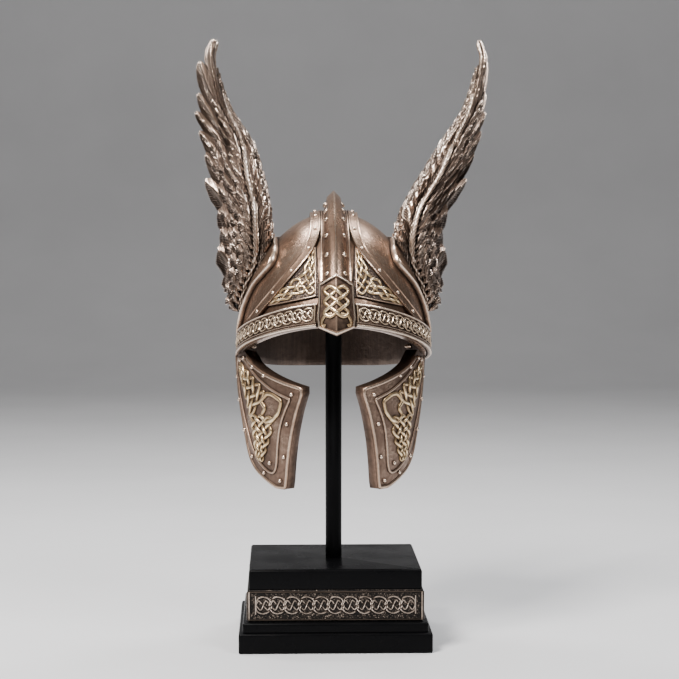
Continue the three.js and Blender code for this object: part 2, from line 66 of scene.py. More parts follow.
def curve(xs, ys, count=400):
    """A smooth curve through points with rising xs, as a function read from samples."""
    xs, ys = np.asarray(xs, float), np.asarray(ys, float)
    last = len(xs) - 1
    after, before = np.minimum(np.arange(1, last + 2), last), np.maximum(np.arange(-1, last), 0)
    slopes = (ys[after] - ys[before]) / (xs[after] - xs[before])
    at = np.linspace(xs[0], xs[-1], count)
    i = np.clip(np.searchsorted(xs, at, "right") - 1, 0, last - 1)
    span = xs[i + 1] - xs[i]
    t = (at - xs[i]) / span
    k = 2 * t**3 - 3 * t**2 + 1
    bend = (t**3 - 2 * t**2 + t) * span * slopes[i] + (t**3 - t**2) * span * slopes[i + 1]
    out = k * ys[i] + (1 - k) * ys[i + 1] + bend
    return lambda x: float(np.interp(x, at, out))


def ease(x, low, high):
    t = min(1.0, max(0.0, (x - low) / (high - low)))
    return t * t * (3 - 2 * t)


def mix(a, b, t):
    return a + (b - a) * t


def by_rows(x, *rows):
    """Read between rows of (x, value)."""
    return float(np.interp(x, *zip(*rows)))


def full_turn(count):
    return np.linspace(0, 2 * pi, count + 1)[:-1]


def way_along(points):
    """Length of a line up to each of its points."""
    return np.concatenate([[0], np.cumsum(np.linalg.norm(np.diff(points, axis=0), axis=1))])


# Places on the helmet


def lifted(x, y, z, lift):
    n = np.array([x / DOME_A**2, y / DOME_B**2, max(0.0, z - DOME_LEVEL) / DOME_H**2])
    return np.array([x, y, z]) + n * (lift / np.linalg.norm(n))


def on_wall(turn, z, lift):
    """By angle round from the front and height."""
    up = max(0.0, (z - DOME_LEVEL) / DOME_H)
    reach = sqrt(max(1e-9, 1 - up * up))
    return lifted(DOME_A * reach * sin(turn), -DOME_B * reach * cos(turn), z, lift)


def over_top(x, around, lift):
    """By distance from the crest's plane and angle over the top from the front."""
    k = sqrt(1 - (x / DOME_A) ** 2)
    return lifted(x, -k * DOME_B * cos(around), DOME_LEVEL + k * DOME_H * sin(around), lift)


def from_side(side, y, z, lift):
    up = max(0.0, z - DOME_LEVEL) / DOME_H
    x = DOME_A * sqrt(max(1e-6, 1 - (y / DOME_B) ** 2 - up * up))
    return lifted(side * x, y, z, lift)


def on_brow(x, z, lift):
    up = (z - DOME_LEVEL) / DOME_H
    y = -DOME_B * sqrt(max(1e-6, 1 - (x / DOME_A) ** 2 - up * up))
    return lifted(x, y, z, lift)


def rim_height(turn):
    return RIM_BACK + (RIM_FRONT - RIM_BACK) * ((1 + cos(turn)) / 2) ** RIM_SHARP


# Mesh making


class Shell:
    """Collects closed surfaces with a relief value at each vertex: 0 in a recess, 1 on a rubbed crest; on feathers and
    knot strands it also holds painted shade and painted highlight.
    """

    def __init__(self):
        self.points, self.faces, self.relief, self.slots = [], [], [], []

    def loft(self, rings, relief, slot=0, closed=False):
        """A solid through rings of points, or a tube whose last ring joins the first. relief is one value for each
        point of a ring, or a ring of them for each, and slot is one value or one for each step between rings."""
        count, total, start = len(rings[0]), len(rings), len(self.points)
        faces = []
        for r in range(total if closed else total - 1):
            for i in range(count):
                j, s = (i + 1) % count, (r + 1) % total
                faces.append((r * count + i, r * count + j, s * count + j, s * count + i))
        slots = [s for s in slot for _ in range(count)] if hasattr(slot, "__len__") else [slot] * len(faces)
        if not closed:
            faces += [range(count - 1, -1, -1), range((total - 1) * count, total * count)]
            slots += [slots[0], slots[-1]]
        self.points.extend(p for ring in rings for p in ring)
        self.relief.extend(np.broadcast_to(relief, (total, count)).ravel())
        self.faces.extend(tuple(i + start for i in f) for f in faces)
        self.slots.extend(slots)

    def strand(self, surface, path, half, height, base, lifts=None, closed=False, slot=0, sides=6, bright=1.0):
        """A half-round strip along a path of (u, v) on a surface(u, v, lift), with one half width or one a point."""
        path = np.asarray(path, float)
        n = len(path)
        half = np.broadcast_to(np.asarray(half, float), n)
        tall = height * np.sqrt(half / half.max())
        lifts = np.zeros(n) if lifts is None else np.asarray(lifts, float)
        if closed:
            ahead = np.roll(path, -1, 0) - np.roll(path, 1, 0)
        else:
            ahead = np.gradient(path, axis=0)
        ahead /= np.linalg.norm(ahead, axis=1)[:, None] + 1e-9
        across = np.stack([-ahead[:, 1], ahead[:, 0]], 1)
        section = [pi * k / sides for k in range(sides + 1)]
        rings = []
        for i in range(n):
            ring = []
            for a in section:
                u, v = path[i] + across[i] * half[i] * cos(a)
                ring.append(surface(u, v, base + lifts[i] * sin(a) + tall[i] * sin(a) ** 0.75))
            rings.append(ring)
        # Brightest along the strip's rubbed crest; painted shade where it dips under another strand and painted
        # highlight where it passes over.
        top = [bright * sin(a) ** 0.8 for a in section]
        swing = max(1e-6, float(np.abs(lifts).max()))
        relief = [[r * (0.68 + 0.42 * lift / swing) for r in top] for lift in lifts]
        self.loft(rings, relief, slot, closed)

    def rivet(self, place, radius, height, slot=0):
        """A round head on a place(du, dv, lift) that gives points near it."""
        angles = [pi / 2 * k / 4.6 for k in range(5)]
        section = [(radius, -0.6)] + [(radius * cos(a), height * sin(a)) for a in angles]
        rings = [[place(r * cos(t), r * sin(t), h) for t in full_turn(12)] for r, h in section]
        self.loft(rings, [1.0] * 12, slot)

    def build(self, name, materials, slot, *nodes, sharp=40):
        mesh = bpy.data.meshes.new(name)
        mesh.from_pydata([tuple(np.asarray(p) * 0.001) for p in self.points], [], self.faces)
        mesh.validate()
        work = bmesh.new()
        work.from_mesh(mesh)
        bmesh.ops.recalc_face_normals(work, faces=work.faces)
        work.to_mesh(mesh)
        work.free()
        mesh.attributes.new("relief", "FLOAT", "POINT").data.foreach_set("value", np.asarray(self.relief, np.float32))
        mesh.polygons.foreach_set("material_index", np.asarray(self.slots, np.int32))
        mesh.polygons.foreach_set("use_smooth", np.ones(len(mesh.polygons), bool))
        mesh.set_sharp_from_angle(angle=radians(sharp))
        for m in materials:
            mesh.materials.append(m)
        piece = bpy.data.objects.new(name, mesh)
        bpy.context.scene.collection.objects.link(piece)
        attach(piece, "root")
        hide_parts(*nodes)


# Knotwork


def is_closed(path):
    return np.linalg.norm(path[0, :2] - path[-1, :2]) < 3 * np.linalg.norm(path[1, :2] - path[0, :2])


def crossings(paths):
    """Where paths cross themselves and each other, as pairs of (path, point)."""
    ids = [(i, k) for i, path in enumerate(paths) for k in range(len(path))]
    starts = np.concatenate([path[:, :2] for path in paths])
    steps = []
    for path in paths:
        step = np.roll(path[:, :2], -1, 0) - path[:, :2]
        step[-1] *= is_closed(path)
        steps.append(step)
    steps = np.concatenate(steps)
    hits = []
    for n, (i, k) in enumerate(ids):
        gap = starts[n + 1 :] - starts[n]
        turn = steps[n][0] * steps[n + 1 :, 1] - steps[n][1] * steps[n + 1 :, 0]
        turn = np.where(np.abs(turn) < 1e-9, 1e-9, turn)
        t = (gap[:, 0] * steps[n + 1 :, 1] - gap[:, 1] * steps[n + 1 :, 0]) / turn
        u = (gap[:, 0] * steps[n][1] - gap[:, 1] * steps[n][0]) / turn
        for m in np.nonzero((t >= 0) & (t < 1) & (u >= 0) & (u < 1))[0]:
            j, q = ids[n + 1 + m]
            if i != j or 2 < abs(k - q) < len(paths[i]) - 2:
                hits.append(((i, k), (j, q)))
    return hits


def over_and_under(paths):
    """Lifts along paths that pass over and under each other by turns: 1 over, -1 under."""
    hits = crossings(paths)
    order = {}
    for i in range(len(paths)):
        passes = sorted((end[1], n, e) for n, hit in enumerate(hits) for e, end in enumerate(hit) if end[0] == i)
        order.update({(n, e): rank for rank, (_, n, e) in enumerate(passes)})
    first = {}
    for start in range(len(paths)):
        todo = [] if start in first else [start]
        first.setdefault(start, 0)
        while todo:
            here = todo.pop()
            for n, hit in enumerate(hits):
                for e in (0, 1):
                    there = hit[1 - e][0]
                    if hit[e][0] == here and there not in first:
                        first[there] = (order[n, e] + first[here] + 1 - order[n, 1 - e]) % 2
                        todo.append(there)
    lifts = [np.zeros(len(path)) for path in paths]
    for n, hit in enumerate(hits):
        for e, (i, k) in enumerate(hit):
            path = paths[i]
            away = np.abs(np.arange(len(path)) - k)
            if is_closed(path):
                away = np.minimum(away, len(path) - away)
            away = away * np.linalg.norm(path[1, :2] - path[0, :2]) / (2.0 * path[k, 2])
            lifts[i] += (1 if (order[n, e] + first[i]) % 2 else -1) * np.exp(-(away**2))
    return [np.clip(lift, -1, 1) for lift in lifts]


def evenly(path, step, closed=True):
    """A path again in equal steps."""
    path = np.vstack([path, path[:1]]) if closed else np.asarray(path, float)
    gone = way_along(path[:, :2])
    at = np.linspace(0, gone[-1], max(9, int(gone[-1] / step) + 1))
    return np.stack([np.interp(at[:-1] if closed else at, gone, column) for column in path.T], 1)


def softened(path, half, reach=1.8, step=0.5):
    """A closed path with its corners rounded, and a half width at each point."""
    path = np.asarray(path, float)
    if path.shape[1] == 2:
        path = np.column_stack([path, np.full(len(path), half)])
    path = evenly(path, step)
    n = max(1, round(reach / step / 2))
    for _ in range(2):
        path = sum(np.roll(path, k, 0) for k in range(-n, n + 1)) / (2 * n + 1)
    return evenly(path, step)


def lattice(columns, rows, spine, widths, half, reach=1.8):
    """Closed strands of a basket weave along a spine, with its half width at each point of the spine."""
    wide, tall = 2 * columns, 2 * rows
    fresh = {(x, y) for x in (0, wide) for y in range(1, tall, 2)}
    fresh |= {(x, y) for x in range(1, wide, 2) for y in (0, tall)}
    spine, paths = np.asarray(spine, float), []
    marks = np.linspace(0, 1, len(spine))
    while fresh:
        x, y = min(fresh)
        dx, dy = 1, 1
        loop = []
        while (x, y) in fresh:
            fresh.discard((x, y))
            loop.append((x / wide, y / tall))
            steps = min(wide - x if dx > 0 else x, tall - y if dy > 0 else y)
            x, y = x + dx * steps, y + dy * steps
            dx, dy = -dx if x in (0, wide) else dx, -dy if y in (0, tall) else dy
        path = []
        for a, b in evenly(np.array(loop), 0.02):
            low, high = ([np.interp(b + d, marks, spine[:, i]) for i in (0, 1)] for d in (-0.04, 0.04))
            ahead = np.subtract(high, low) / np.linalg.norm(np.subtract(high, low))
            width = float(np.interp(b, marks, widths))
            place = np.add(low, high) / 2 + np.array([-ahead[1], ahead[0]]) * (2 * a - 1) * width
            path.append((*place, min(half, 0.52 * width / columns + 0.12)))
        paths.append(softened(path, half, reach))
    return paths


def ring_chain(start, end, middle, reach, pitch, half):
    """Rings that overlap along a border, with two strands that twist through them."""
    count = round((end - start) / pitch)
    pitch = (end - start) / count
    paths = []
    for k in range(count):
        ring = [(start + (k + 0.5 + 0.59 * cos(a)) * pitch, middle + reach * sin(a)) for a in full_turn(40)]
        paths.append(softened([(min(end, max(start, u)), v) for u, v in ring], half, 0.5))
    u = np.linspace(start, end, count * 24)
    for sign in (-1, 1):
        swing = sign * np.sin(2 * pi * (u - start) / pitch) + 0.25 * np.sin(4 * pi * (u - start) / pitch)
        paths.append(evenly(np.column_stack([u, middle + 0.5 * reach * swing, np.full(len(u), half)]), 0.5, False))
    return paths


def rounded(points, times=3, closed=True):
    """Corners cut until the line is smooth."""
    p = np.asarray(points, float)
    for _ in range(times):
        q = np.roll(p, -1, 0) if closed else p[1:]
        a = p if closed else p[:-1]
        new = np.empty((2 * len(a), p.shape[1]))
        new[0::2], new[1::2] = 0.75 * a + 0.25 * q, 0.25 * a + 0.75 * q
        p = new if closed else np.vstack([p[:1], new, p[-1:]])
    return p


def woven(shell, surface, paths, height, base, weave, slot, sides=6):
    """Strands of a knot on a surface, each point with its half width."""
    for path, lifts in zip(paths, over_and_under(paths)):
        shell.strand(surface, path[:, :2], path[:, 2], height, base, lifts * weave, is_closed(path), slot, sides)


# Materials


class Look:
    """A material: its nodes, the sockets of its main shader and the object's own coordinates."""

    def __init__(self, name, metallic, rough):
        self.material = bpy.data.materials.new(name)
        self.material.use_nodes = True
        self.tree = self.material.node_tree
        self.tree.nodes.clear()
        out = self.node("OutputMaterial")
        shader = self.node("BsdfPrincipled", Metallic=metallic, Roughness=rough)
        self.link(shader.outputs[0], out.inputs[0])
        self.sockets = shader.inputs
        self.where = self.node("TexCoord").outputs["Object"]

    def link(self, source, target):
        self.tree.links.new(source, target)

    def node(self, kind, **values):
        n = self.tree.nodes.new("ShaderNode" + kind)
        for key, value in values.items():
            if key in n.inputs:
                n.inputs[key].default_value = value
            else:
                setattr(n, key, value)
        return n

    def maths(self, operation, *values):
        n = self.node("Math", operation=operation)
        for i, value in enumerate(values):
            if isinstance(value, (int, float)):
                n.inputs[i].default_value = value
            else:
                self.link(value, n.inputs[i])
        return n.outputs[0]

    def noise(self, scale, detail, rough=0.55, stretch=None):
        where = self.where
        if stretch:
            mapping = self.node("Mapping", Scale=stretch)
            self.link(where, mapping.inputs["Vector"])
            where = mapping.outputs[0]
        n = self.node("TexNoise", Scale=scale, Detail=detail, Roughness=rough)
        self.link(where, n.inputs["Vector"])
        return n.outputs["Fac"]

    def varied(self, level, source, amount):
        """A level with a noise added that swings about zero."""
        return self.maths("ADD", level, self.maths("MULTIPLY", self.maths("SUBTRACT", source, 0.5), amount))

    def openness(self, reach, power):
        """1 on open faces, falling to 0 in recesses within reach."""
        shade = self.node("AmbientOcclusion", Distance=reach, samples=6)
        return self.maths("POWER", shade.outputs["AO"], power)

    def ramp(self, source, socket, *stops):
        """Colours or greys by a value, fed to the main shader."""
        n = self.node("ValToRGB")
        while len(n.color_ramp.elements) < len(stops):
            n.color_ramp.elements.new(0.5)
        for element, (at, colour) in zip(n.color_ramp.elements, stops):
            element.position = at
            element.color = (*colour, 1) if hasattr(colour, "__len__") else (colour, colour, colour, 1)
        self.link(source, n.inputs["Fac"])
        self.link(n.outputs["Color"], self.sockets[socket])

    def bump(self, height, strength, distance, invert=False):
        n = self.node("Bump", Strength=strength, Distance=distance, invert=invert)
        self.link(height, n.inputs["Height"])
        self.link(n.outputs[0], self.sockets["Normal"])


def bronze(name, dark, body, light, metallic, rough, use_relief, streak, pits, crevice, mottle):
    """Aged bronze: dark in recesses and near joints, body colour on open faces, rubbed bright on crests."""
    look = Look(name, metallic, rough)
    relief = look.node("Attribute", attribute_name="relief").outputs["Fac"]
    grain = look.noise(scale=420, detail=3)
    level = look.maths("MULTIPLY_ADD", relief, use_relief, 0.5 - 0.5 * use_relief)
    level = look.maths("MULTIPLY", level, look.openness(crevice * 0.001, power=1.6))
    level = look.varied(level, look.noise(scale=45, detail=5), mottle)
    level = look.varied(level, grain, 0.25)
    if streak:
        level = look.varied(level, look.noise(scale=60, detail=4, rough=0.7, stretch=(9.0, 9.0, 0.5)), streak)
    between = [mix(a, b, 0.45) for a, b in zip(dark, body)]
    look.ramp(level, "Base Color", (0.04, dark), (0.28, between), (0.5, body), (0.95, light))
    dull, glossy = min(1.0, rough + 0.25), max(0.2, rough - 0.1)
    look.ramp(level, "Roughness", (0.1, dull), (0.55, rough), (1.0, glossy))
    pitting = look.maths("MULTIPLY", look.noise(scale=150, detail=3), 1.5)
    look.bump(look.maths("ADD", grain, pitting), pits, distance=0.0004)
    return look.material


def lacquer(name, colour, rough):
    """Black lacquer with faint dust and uneven gloss."""
    look = Look(name, 0.0, rough)
    dusty = [c * 2.6 + 0.006 for c in colour]
    look.ramp(look.noise(scale=900, detail=2), "Base Color", (0.0, colour), (0.68, colour), (0.8, dusty))
    look.ramp(look.noise(scale=30, detail=5), "Roughness", (0.3, rough - 0.05), (0.7, rough + 0.1))
    look.sockets["Specular IOR Level"].default_value = 0.05
    look.bump(look.noise(scale=300, detail=3), strength=0.05, distance=0.0002)
    return look.material


def stippled(name, dark, body, light, rough, scale):
    """A dark punched ground with bright specks, under the knotwork."""
    look = Look(name, 0.7, rough)
    cells = look.node("TexVoronoi", Scale=scale)
    look.link(look.where, cells.inputs["Vector"])
    punched = cells.outputs["Distance"]
    level = look.maths("MULTIPLY", look.maths("SUBTRACT", 0.95, punched), look.openness(0.0025, power=1.8))
    level = look.varied(level, look.noise(scale=160, detail=4), 0.9)
    look.ramp(level, "Base Color", (0.2, dark), (0.62, body), (0.95, light))
    look.bump(punched, strength=0.6, distance=0.0005, invert=True)
    return look.material


DARK, GOLD_DARK, BLACK = (0.022, 0.013, 0.009), (0.03, 0.018, 0.01), (0.01, 0.007, 0.005)
RIB_DARK, INNER_DARK, FRIEZE_DARK = (0.05, 0.035, 0.025), (0.008, 0.006, 0.005), (0.006, 0.004, 0.003)
METALS = (  # name, dark, body, light, metallic, rough, use_relief, streak, pits, crevice, mottle
    ("plate_bronze", DARK, (0.33, 0.21, 0.145), (0.74, 0.56, 0.43), 0.9, 0.25, 0.5, 0.5, 0.3, 7.0, 0.7),
    ("guard_bronze", DARK, (0.21, 0.135, 0.098), (0.62, 0.47, 0.36), 0.9, 0.28, 0.6, 0.2, 0.5, 7.0, 1.0),
    ("trim_bronze", DARK, (0.34, 0.225, 0.16), (0.86, 0.70, 0.56), 0.9, 0.3, 0.9, 0.0, 0.25, 5.0, 0.42),
    ("knot_gold", GOLD_DARK, (0.43, 0.285, 0.15), (0.98, 0.78, 0.50), 0.85, 0.28, 1.0, 0.0, 0.2, 2.5, 0.42),
    ("band_gold", GOLD_DARK, (0.42, 0.3, 0.2), (1.0, 0.86, 0.68), 0.85, 0.26, 1.05, 0.0, 0.2, 2.5, 0.42),
    ("feather_bronze", BLACK, (0.21, 0.143, 0.107), (0.92, 0.76, 0.64), 0.9, 0.28, 1.2, 0.0, 0.2, 2.6, 0.55),
    ("rib_bronze", RIB_DARK, (0.41, 0.305, 0.235), (1.0, 0.87, 0.75), 0.88, 0.28, 1.1, 0.0, 0.5, 2.0, 0.42),
    # The bronze again, painted darker for the dome's inside: painted shade.
    ("inside_bronze_painted_shade", INNER_DARK, (0.08, 0.055, 0.043), (0.22, 0.165, 0.13), 0.7, 0.36, 0.3, 0.5, 0.4, 4.0, 0.42),
    ("frieze_bronze", FRIEZE_DARK, (0.07, 0.052, 0.04), (0.8, 0.66, 0.55), 0.85, 0.3, 1.15, 0.0, 0.3, 2.5, 0.42),
)
plate_metal, guard_metal, trim_metal, gold, band_gold, feather_metal, rib_metal, inside_shade_metal, frieze_metal = (
    bronze(*row) for row in METALS
)
ground = stippled("knot_ground", (0.016, 0.01, 0.008), (0.11, 0.075, 0.055), (0.42, 0.32, 0.25), 0.5, 900.0)
frieze_ground = stippled(
    "frieze_ground", (0.004, 0.003, 0.0025), (0.03, 0.022, 0.017), (0.45, 0.36, 0.29), 0.45, 1100.0
)
black = lacquer("stand_black", (0.0025, 0.0025, 0.0028), 0.26)

# Stand

TIERS = (  # name, width, depth, bottom, top, radius of the upper edge
    ("base_plinth", 107, 97.5, 0, 11, 1.3),
    ("base_step", 102.5, 93, 11, 16.6, 1.6),
    ("base_block", 95.6, 86.2, 34.4, BASE_TOP, 1.6),
)
TIER_CORNER = 1.4  # radius of a tier's upright edges
FRIEZE_W, FRIEZE_D, FRIEZE_LOW, FRIEZE_TOP, FRIEZE_SUNK = 98.4, 89.0, 16.6, 34.4, 0.9


def base_tier(width, depth, bottom, top, edge):
    """A tier with rounded corners and a rounded upper edge."""
    steps = [(0.4, bottom), (0, bottom + 0.4)]
    steps += [(edge * (1 - cos(a)), top - edge * (1 - sin(a))) for a in np.linspace(0, pi / 2, 6)]
    rings = []
    for inset, z in steps:
        r = max(0.25, TIER_CORNER - inset)
        x, y = width / 2 - inset - r, depth / 2 - inset - r
        ring = []
        for n, (cx, cy) in enumerate(((1, 1), (-1, 1), (-1, -1), (1, -1))):
            for a in np.radians(np.linspace(90 * n, 90 * n + 90, 5)):
                ring.append((cx * x + r * cos(a), cy * y + r * sin(a), z))
        rings.append(ring)
    shell = Shell()
    shell.loft(rings, [0.5] * 20)
    return shell


def on_frieze(side):
    """A face of the frieze: u along it from its middle, v up it, lift out of it."""
    half = (FRIEZE_D, FRIEZE_W)[side % 2] / 2 - FRIEZE_SUNK
    turn = radians(90 * side)

    def place(u, v, lift):
        x, y = u, -(half + lift)
        return (x * cos(turn) - y * sin(turn), x * sin(turn) + y * cos(turn), v)

    return place


def upright(u, low, high, count):
    return [(u, v) for v in np.linspace(low, high, count)]


for name, *sizes in TIERS:
    base_tier(*sizes).build("stand_" + name, [black], "stand_black", name)

shell = base_tier(FRIEZE_W - 2 * FRIEZE_SUNK, FRIEZE_D - 2 * FRIEZE_SUNK, FRIEZE_LOW, FRIEZE_TOP, 0.3)
for side in range(4):
    face = on_frieze(side)
    end = (FRIEZE_W, FRIEZE_D)[side % 2] / 2 - FRIEZE_SUNK
    for v, half in ((FRIEZE_LOW + 1.2, 0.36), (FRIEZE_TOP - 1.1, 0.4)):
        shell.strand(face, [(u, v) for u in np.linspace(-end, end, 60)], half, 0.5, -0.05, slot=1, bright=0.6)
    for u in (0.6 - end, end - 0.6):
        shell.strand(face, upright(u, FRIEZE_LOW + 1, FRIEZE_TOP - 1, 12), 0.55, 0.7, -0.05, slot=1)
    for u in (4.2 - end, end - 4.2):
        shell.strand(face, upright(u, 21.0, 31.2, 14), 0.5, 0.6, -0.05, slot=1)
    chain = ring_chain(4.4 - end, end - 4.4, middle=26.0, reach=4.7, pitch=8.0, half=0.5)
    woven(shell, face, chain, 0.6, -0.1, 0.3, 1, 5)
shell.build("stand_base_frieze", [frieze_ground, frieze_metal], "frieze", "base_frieze")


def pole_ring(inset, z):
    r = POLE_RADIUS - inset
    return [(r * cos(a), r * sin(a), z) for a in full_turn(48)]


shell = Shell()
low, high = BASE_TOP + 0.05, DOME_LEVEL + DOME_H - DOME_WALL - 0.95
levels = [(0.3, low), (0, low + 0.4)] + [(0, z) for z in np.linspace(low + 5, high - 0.6, 20)] + [(0.6, high)]
shell.loft([pole_ring(*level) for level in levels], [0.5] * 48)
shell.build("stand_pole", [lacquer("pole_black", (0.005, 0.005, 0.0055), 0.3)], "stand_black", "pole")

# Dome

DOME_COLUMNS = 144


def dome_ring(share, lift):
    """A ring at a share of the way from the rim to the top."""
    ring = []
    for turn in full_turn(DOME_COLUMNS):
        rim = asin((rim_height(turn) - DOME_LEVEL) / DOME_H)
        ring.append(on_wall(turn, DOME_LEVEL + DOME_H * sin(mix(rim, pi / 2, share)), lift))
    return ring


shell = Shell()
shares = [0.985 - 0.955 * i / 36 for i in range(37)] + [0.008]
outer = [dome_ring(s, 0) for s in shares] + [dome_ring(0, -0.5), dome_ring(0, 0.5 - DOME_WALL)]
inner = [dome_ring(s, -DOME_WALL) for s in reversed(shares)]
shell.loft(outer + inner, [0.5] * DOME_COLUMNS, [0] * (len(outer) - 1) + [1] * len(inner))
# The inner face takes the darker inside bronze, which is painted shade.
shell.build("helmet_dome", [plate_metal, inside_shade_metal], "bronze", "dome")

# Crest and straps

CREST_BORDER = (  # share of the half width, lift, relief
    (1, SEAT, 0.2), (1, 1.3, 0.6), (0.97, 1.9, 1.0), (0.89, 1.95, 1.0), (0.84, 1.45, 0.25), (0.8, 1.4, 0.25),
)
CREST_RIVETS = (33.5, 42.5, 53, 64, 72, 81, 98, 112, 126, 140, 154, 167)  # angles over the top
RIVET_SHARE, RIVET_TILT, CREST_RADIUS = 0.56, 0.55, 68


def crest_sizes(around):
    """Half width and height of the crest at an angle over the top."""
    s, front = sin(around), around < pi / 2
    return mix(8.6 if front else 7.6, 7.2, s**2), mix(4.6 if front else 3.2, 12.4, s**3)


def crest_lift(share, around):
    """Height of the crest's face at a share of its half width."""
    half, rise = crest_sizes(around)
    return by_rows(share * half, (0, rise), (0.42 * half, 0.72 * rise), (half - 2, 1.5), (half, 1.5))


shell = Shell()
rings, reliefs = [], []
for around in np.radians(np.linspace(CREST_FROM, CREST_TO, 110)):
    half, rise = crest_sizes(around)
    side = list(CREST_BORDER)
    side += [(s, crest_lift(s, around) - 0.12, 0.5) for s in (0.7, 0.56, 0.42, 0.28, 0.15)]
    side += [(0.05, rise - 0.35, 0.75)]
    ring = [over_top(-s * half, around, h) for s, h, _ in side] + [over_top(0, around, rise)]
    ring += [over_top(s * half, around, h) for s, h, _ in reversed(side)] + [over_top(0, around, SEAT)]
    rings.append(ring)
    reliefs.append([r for *_, r in side] + [1.15] + [r for *_, r in reversed(side)] + [0.2])
shell.loft(rings, reliefs, 0)
for around in np.radians(CREST_RIVETS):
    foot = crest_lift(RIVET_SHARE, around)
    for sign in (-1, 1):
        x = sign * RIVET_SHARE * crest_sizes(around)[0]
        head = lambda du, dv, h: over_top(x + du, around + dv / CREST_RADIUS, foot + h - du * sign * RIVET_TILT)
        shell.rivet(head, 1.25, 1.25, 1)
shell.build("helmet_crest", [plate_metal, trim_metal], "bronze", "crest", sharp=28)

STRAP_ROUTE = (  # distance from the crest's plane, angle over the top
    (11.2, 172), (10.4, 120), (10, 84), (10, 61), (13.2, 49.3), (20.5, 41.7), (30.5, 34.2), (38.5, 29.2), (46, 24.6),
)
STRAP_HALF = [  # across, lift, relief
    (2.8, SEAT, 0.2), (2.8, 1.8, 0.6), (2.6, 2.35, 1.0), (2.1, 2.4, 1.0), (1.75, 1.95, 0.3), (1.4, 1.9, 0.5),
]
STRAP_SECTION = [(-w, h, r) for w, h, r in STRAP_HALF] + [(0, 1.95, 0.55)] + STRAP_HALF[::-1]
STRAP_RIVETS = 14.5  # at least this far apart


def strap_frames(side, count=150):
    """Points along a strap's centre line, each with the way across the strap and the way along it."""
    p = rounded(STRAP_ROUTE, 4, False)
    gone = way_along(p)
    route = np.stack([np.interp(np.linspace(0, gone[-1], count), gone, p[:, i]) for i in (0, 1)], 1)
    middle = np.array([over_top(side * x, radians(a), 0) for x, a in route])
    for (x, a), p, t in zip(route, middle, np.gradient(middle, axis=0)):
        across = np.cross(t, over_top(side * x, radians(a), 1) - p)
        yield p, across / np.linalg.norm(across), t / np.linalg.norm(t)


def on_dome(p, lift):
    """The place on the dome under a point."""
    z = max(DOME_LEVEL, p[2])
    k = sqrt((p[0] / DOME_A) ** 2 + (p[1] / DOME_B) ** 2 + ((z - DOME_LEVEL) / DOME_H) ** 2)
    return lifted(p[0] / k, p[1] / k, DOME_LEVEL + (z - DOME_LEVEL) / k, lift)


def rim_over(p):
    return rim_height(atan2(p[0] / DOME_A, -p[1] / DOME_B))


for word, side in SIDES.items():
    shell = Shell()
    frames = [f for f in strap_frames(side) if f[0][2] > rim_over(f[0]) + BAND_HEIGHT - 5]
    rings = [[on_dome(p + c * w, h) for w, h, _ in STRAP_SECTION] for p, c, t in frames]
    shell.loft(rings, [r for *_, r in STRAP_SECTION], 0)
    travelled, last = 0.0, -20.0
    for (before, *_), (p, c, t) in zip(frames, frames[1:-5]):
        travelled += float(np.linalg.norm(p - before))
        if travelled - last > STRAP_RIVETS and travelled > 4:
            last = travelled
            shell.rivet(lambda du, dv, h: on_dome(p + c * du + t * dv, 1.9 + h), 1.05, 0.9, 1)
    shell.build("helmet_strap_" + word, [plate_metal, trim_metal], "bronze", "strap_" + word)

# Brow band

BAND_SECTION = (  # up from the rim, lift, relief
    (0.0, SEAT, 0.1), (0.0, 1.9, 0.5), (0.15, 2.55, 0.9), (0.6, 2.8, 1.0), (1.2, 2.7, 1.0), (1.6, 2.2, 0.25),
    (1.9, 2.05, 0.2), (2.15, 2.4, 0.8), (2.5, 2.45, 0.8), (2.8, 2.0, 0.2), (3.0, 1.85, 0.12), (11.0, 1.85, 0.12),
    (11.2, 2.0, 0.2), (11.45, 2.6, 1.0), (11.9, 2.75, 1.0), (12.3, 2.4, 0.9), (12.4, 1.8, 0.5), (12.4, SEAT, 0.1),
)
brow = radians(BAND_BROW)
band_turns = np.linspace(brow, 2 * pi - brow, 300)
band_line = np.array([on_wall(t, rim_height(t) + 6, 2) for t in band_turns])
band_length = way_along(band_line)


def on_band(u, v, lift):
    t = float(np.interp(u, band_length, band_turns))
    return on_wall(t, rim_height(t) + v, lift)


shell = Shell()
rings = [[on_wall(t, rim_height(t) + v, h) for v, h, _ in BAND_SECTION] for t in band_turns]
shell.loft(rings, [r for *_, r in BAND_SECTION], 0)
for u in (1.0, band_length[-1] - 1.0):
    shell.strand(on_band, upright(u, 2.4, 11.6, 12), 0.6, 0.75, 1.8, slot=1)
chain = ring_chain(2.0, band_length[-1] - 2.0, middle=7.0, reach=3.4, pitch=6.0, half=0.5)
woven(shell, on_band, chain, 0.68, 1.75, 0.3, 1, 5)
shell.build("helmet_brow_band", [trim_metal, band_gold], "knot_bronze", "brow_band")

# Brow plate

BROW_TOP, BROW_POINT = (206.2, 202.0), (175.4, 179.6)  # heights at the middle and at the sides
BROW_EDGE, BROW_RIDGE = 3.6, 7.4  # lifts of the roof
BROW_WIDE, BROW_TALL = 9.3, 28
BROW_CLAW = ((2.2, 186.6), (5.4, 186.2), (7.2, 183.6), (7.6, 181.0), (6.6, 179.6), (5.8, 181.4))


def brow_half(z):
    return by_rows(z, (175, 9.0), (180, 9.3), (184.5, 9.95), (194.5, 9.15), (203, 8.9), (208, 8.8))


def brow_place(s, t):
    """Across from -1 to 1, and down from the chevron top to the blunt point."""
    z = mix(mix(*BROW_TOP, abs(s)), mix(*BROW_POINT, abs(s)), t)
    return s * brow_half(z), z


def brow_roof(x, z, lift):
    return on_brow(x, z, mix(BROW_EDGE, BROW_RIDGE, 1 - min(1.0, abs(x) / brow_half(z))) + lift)


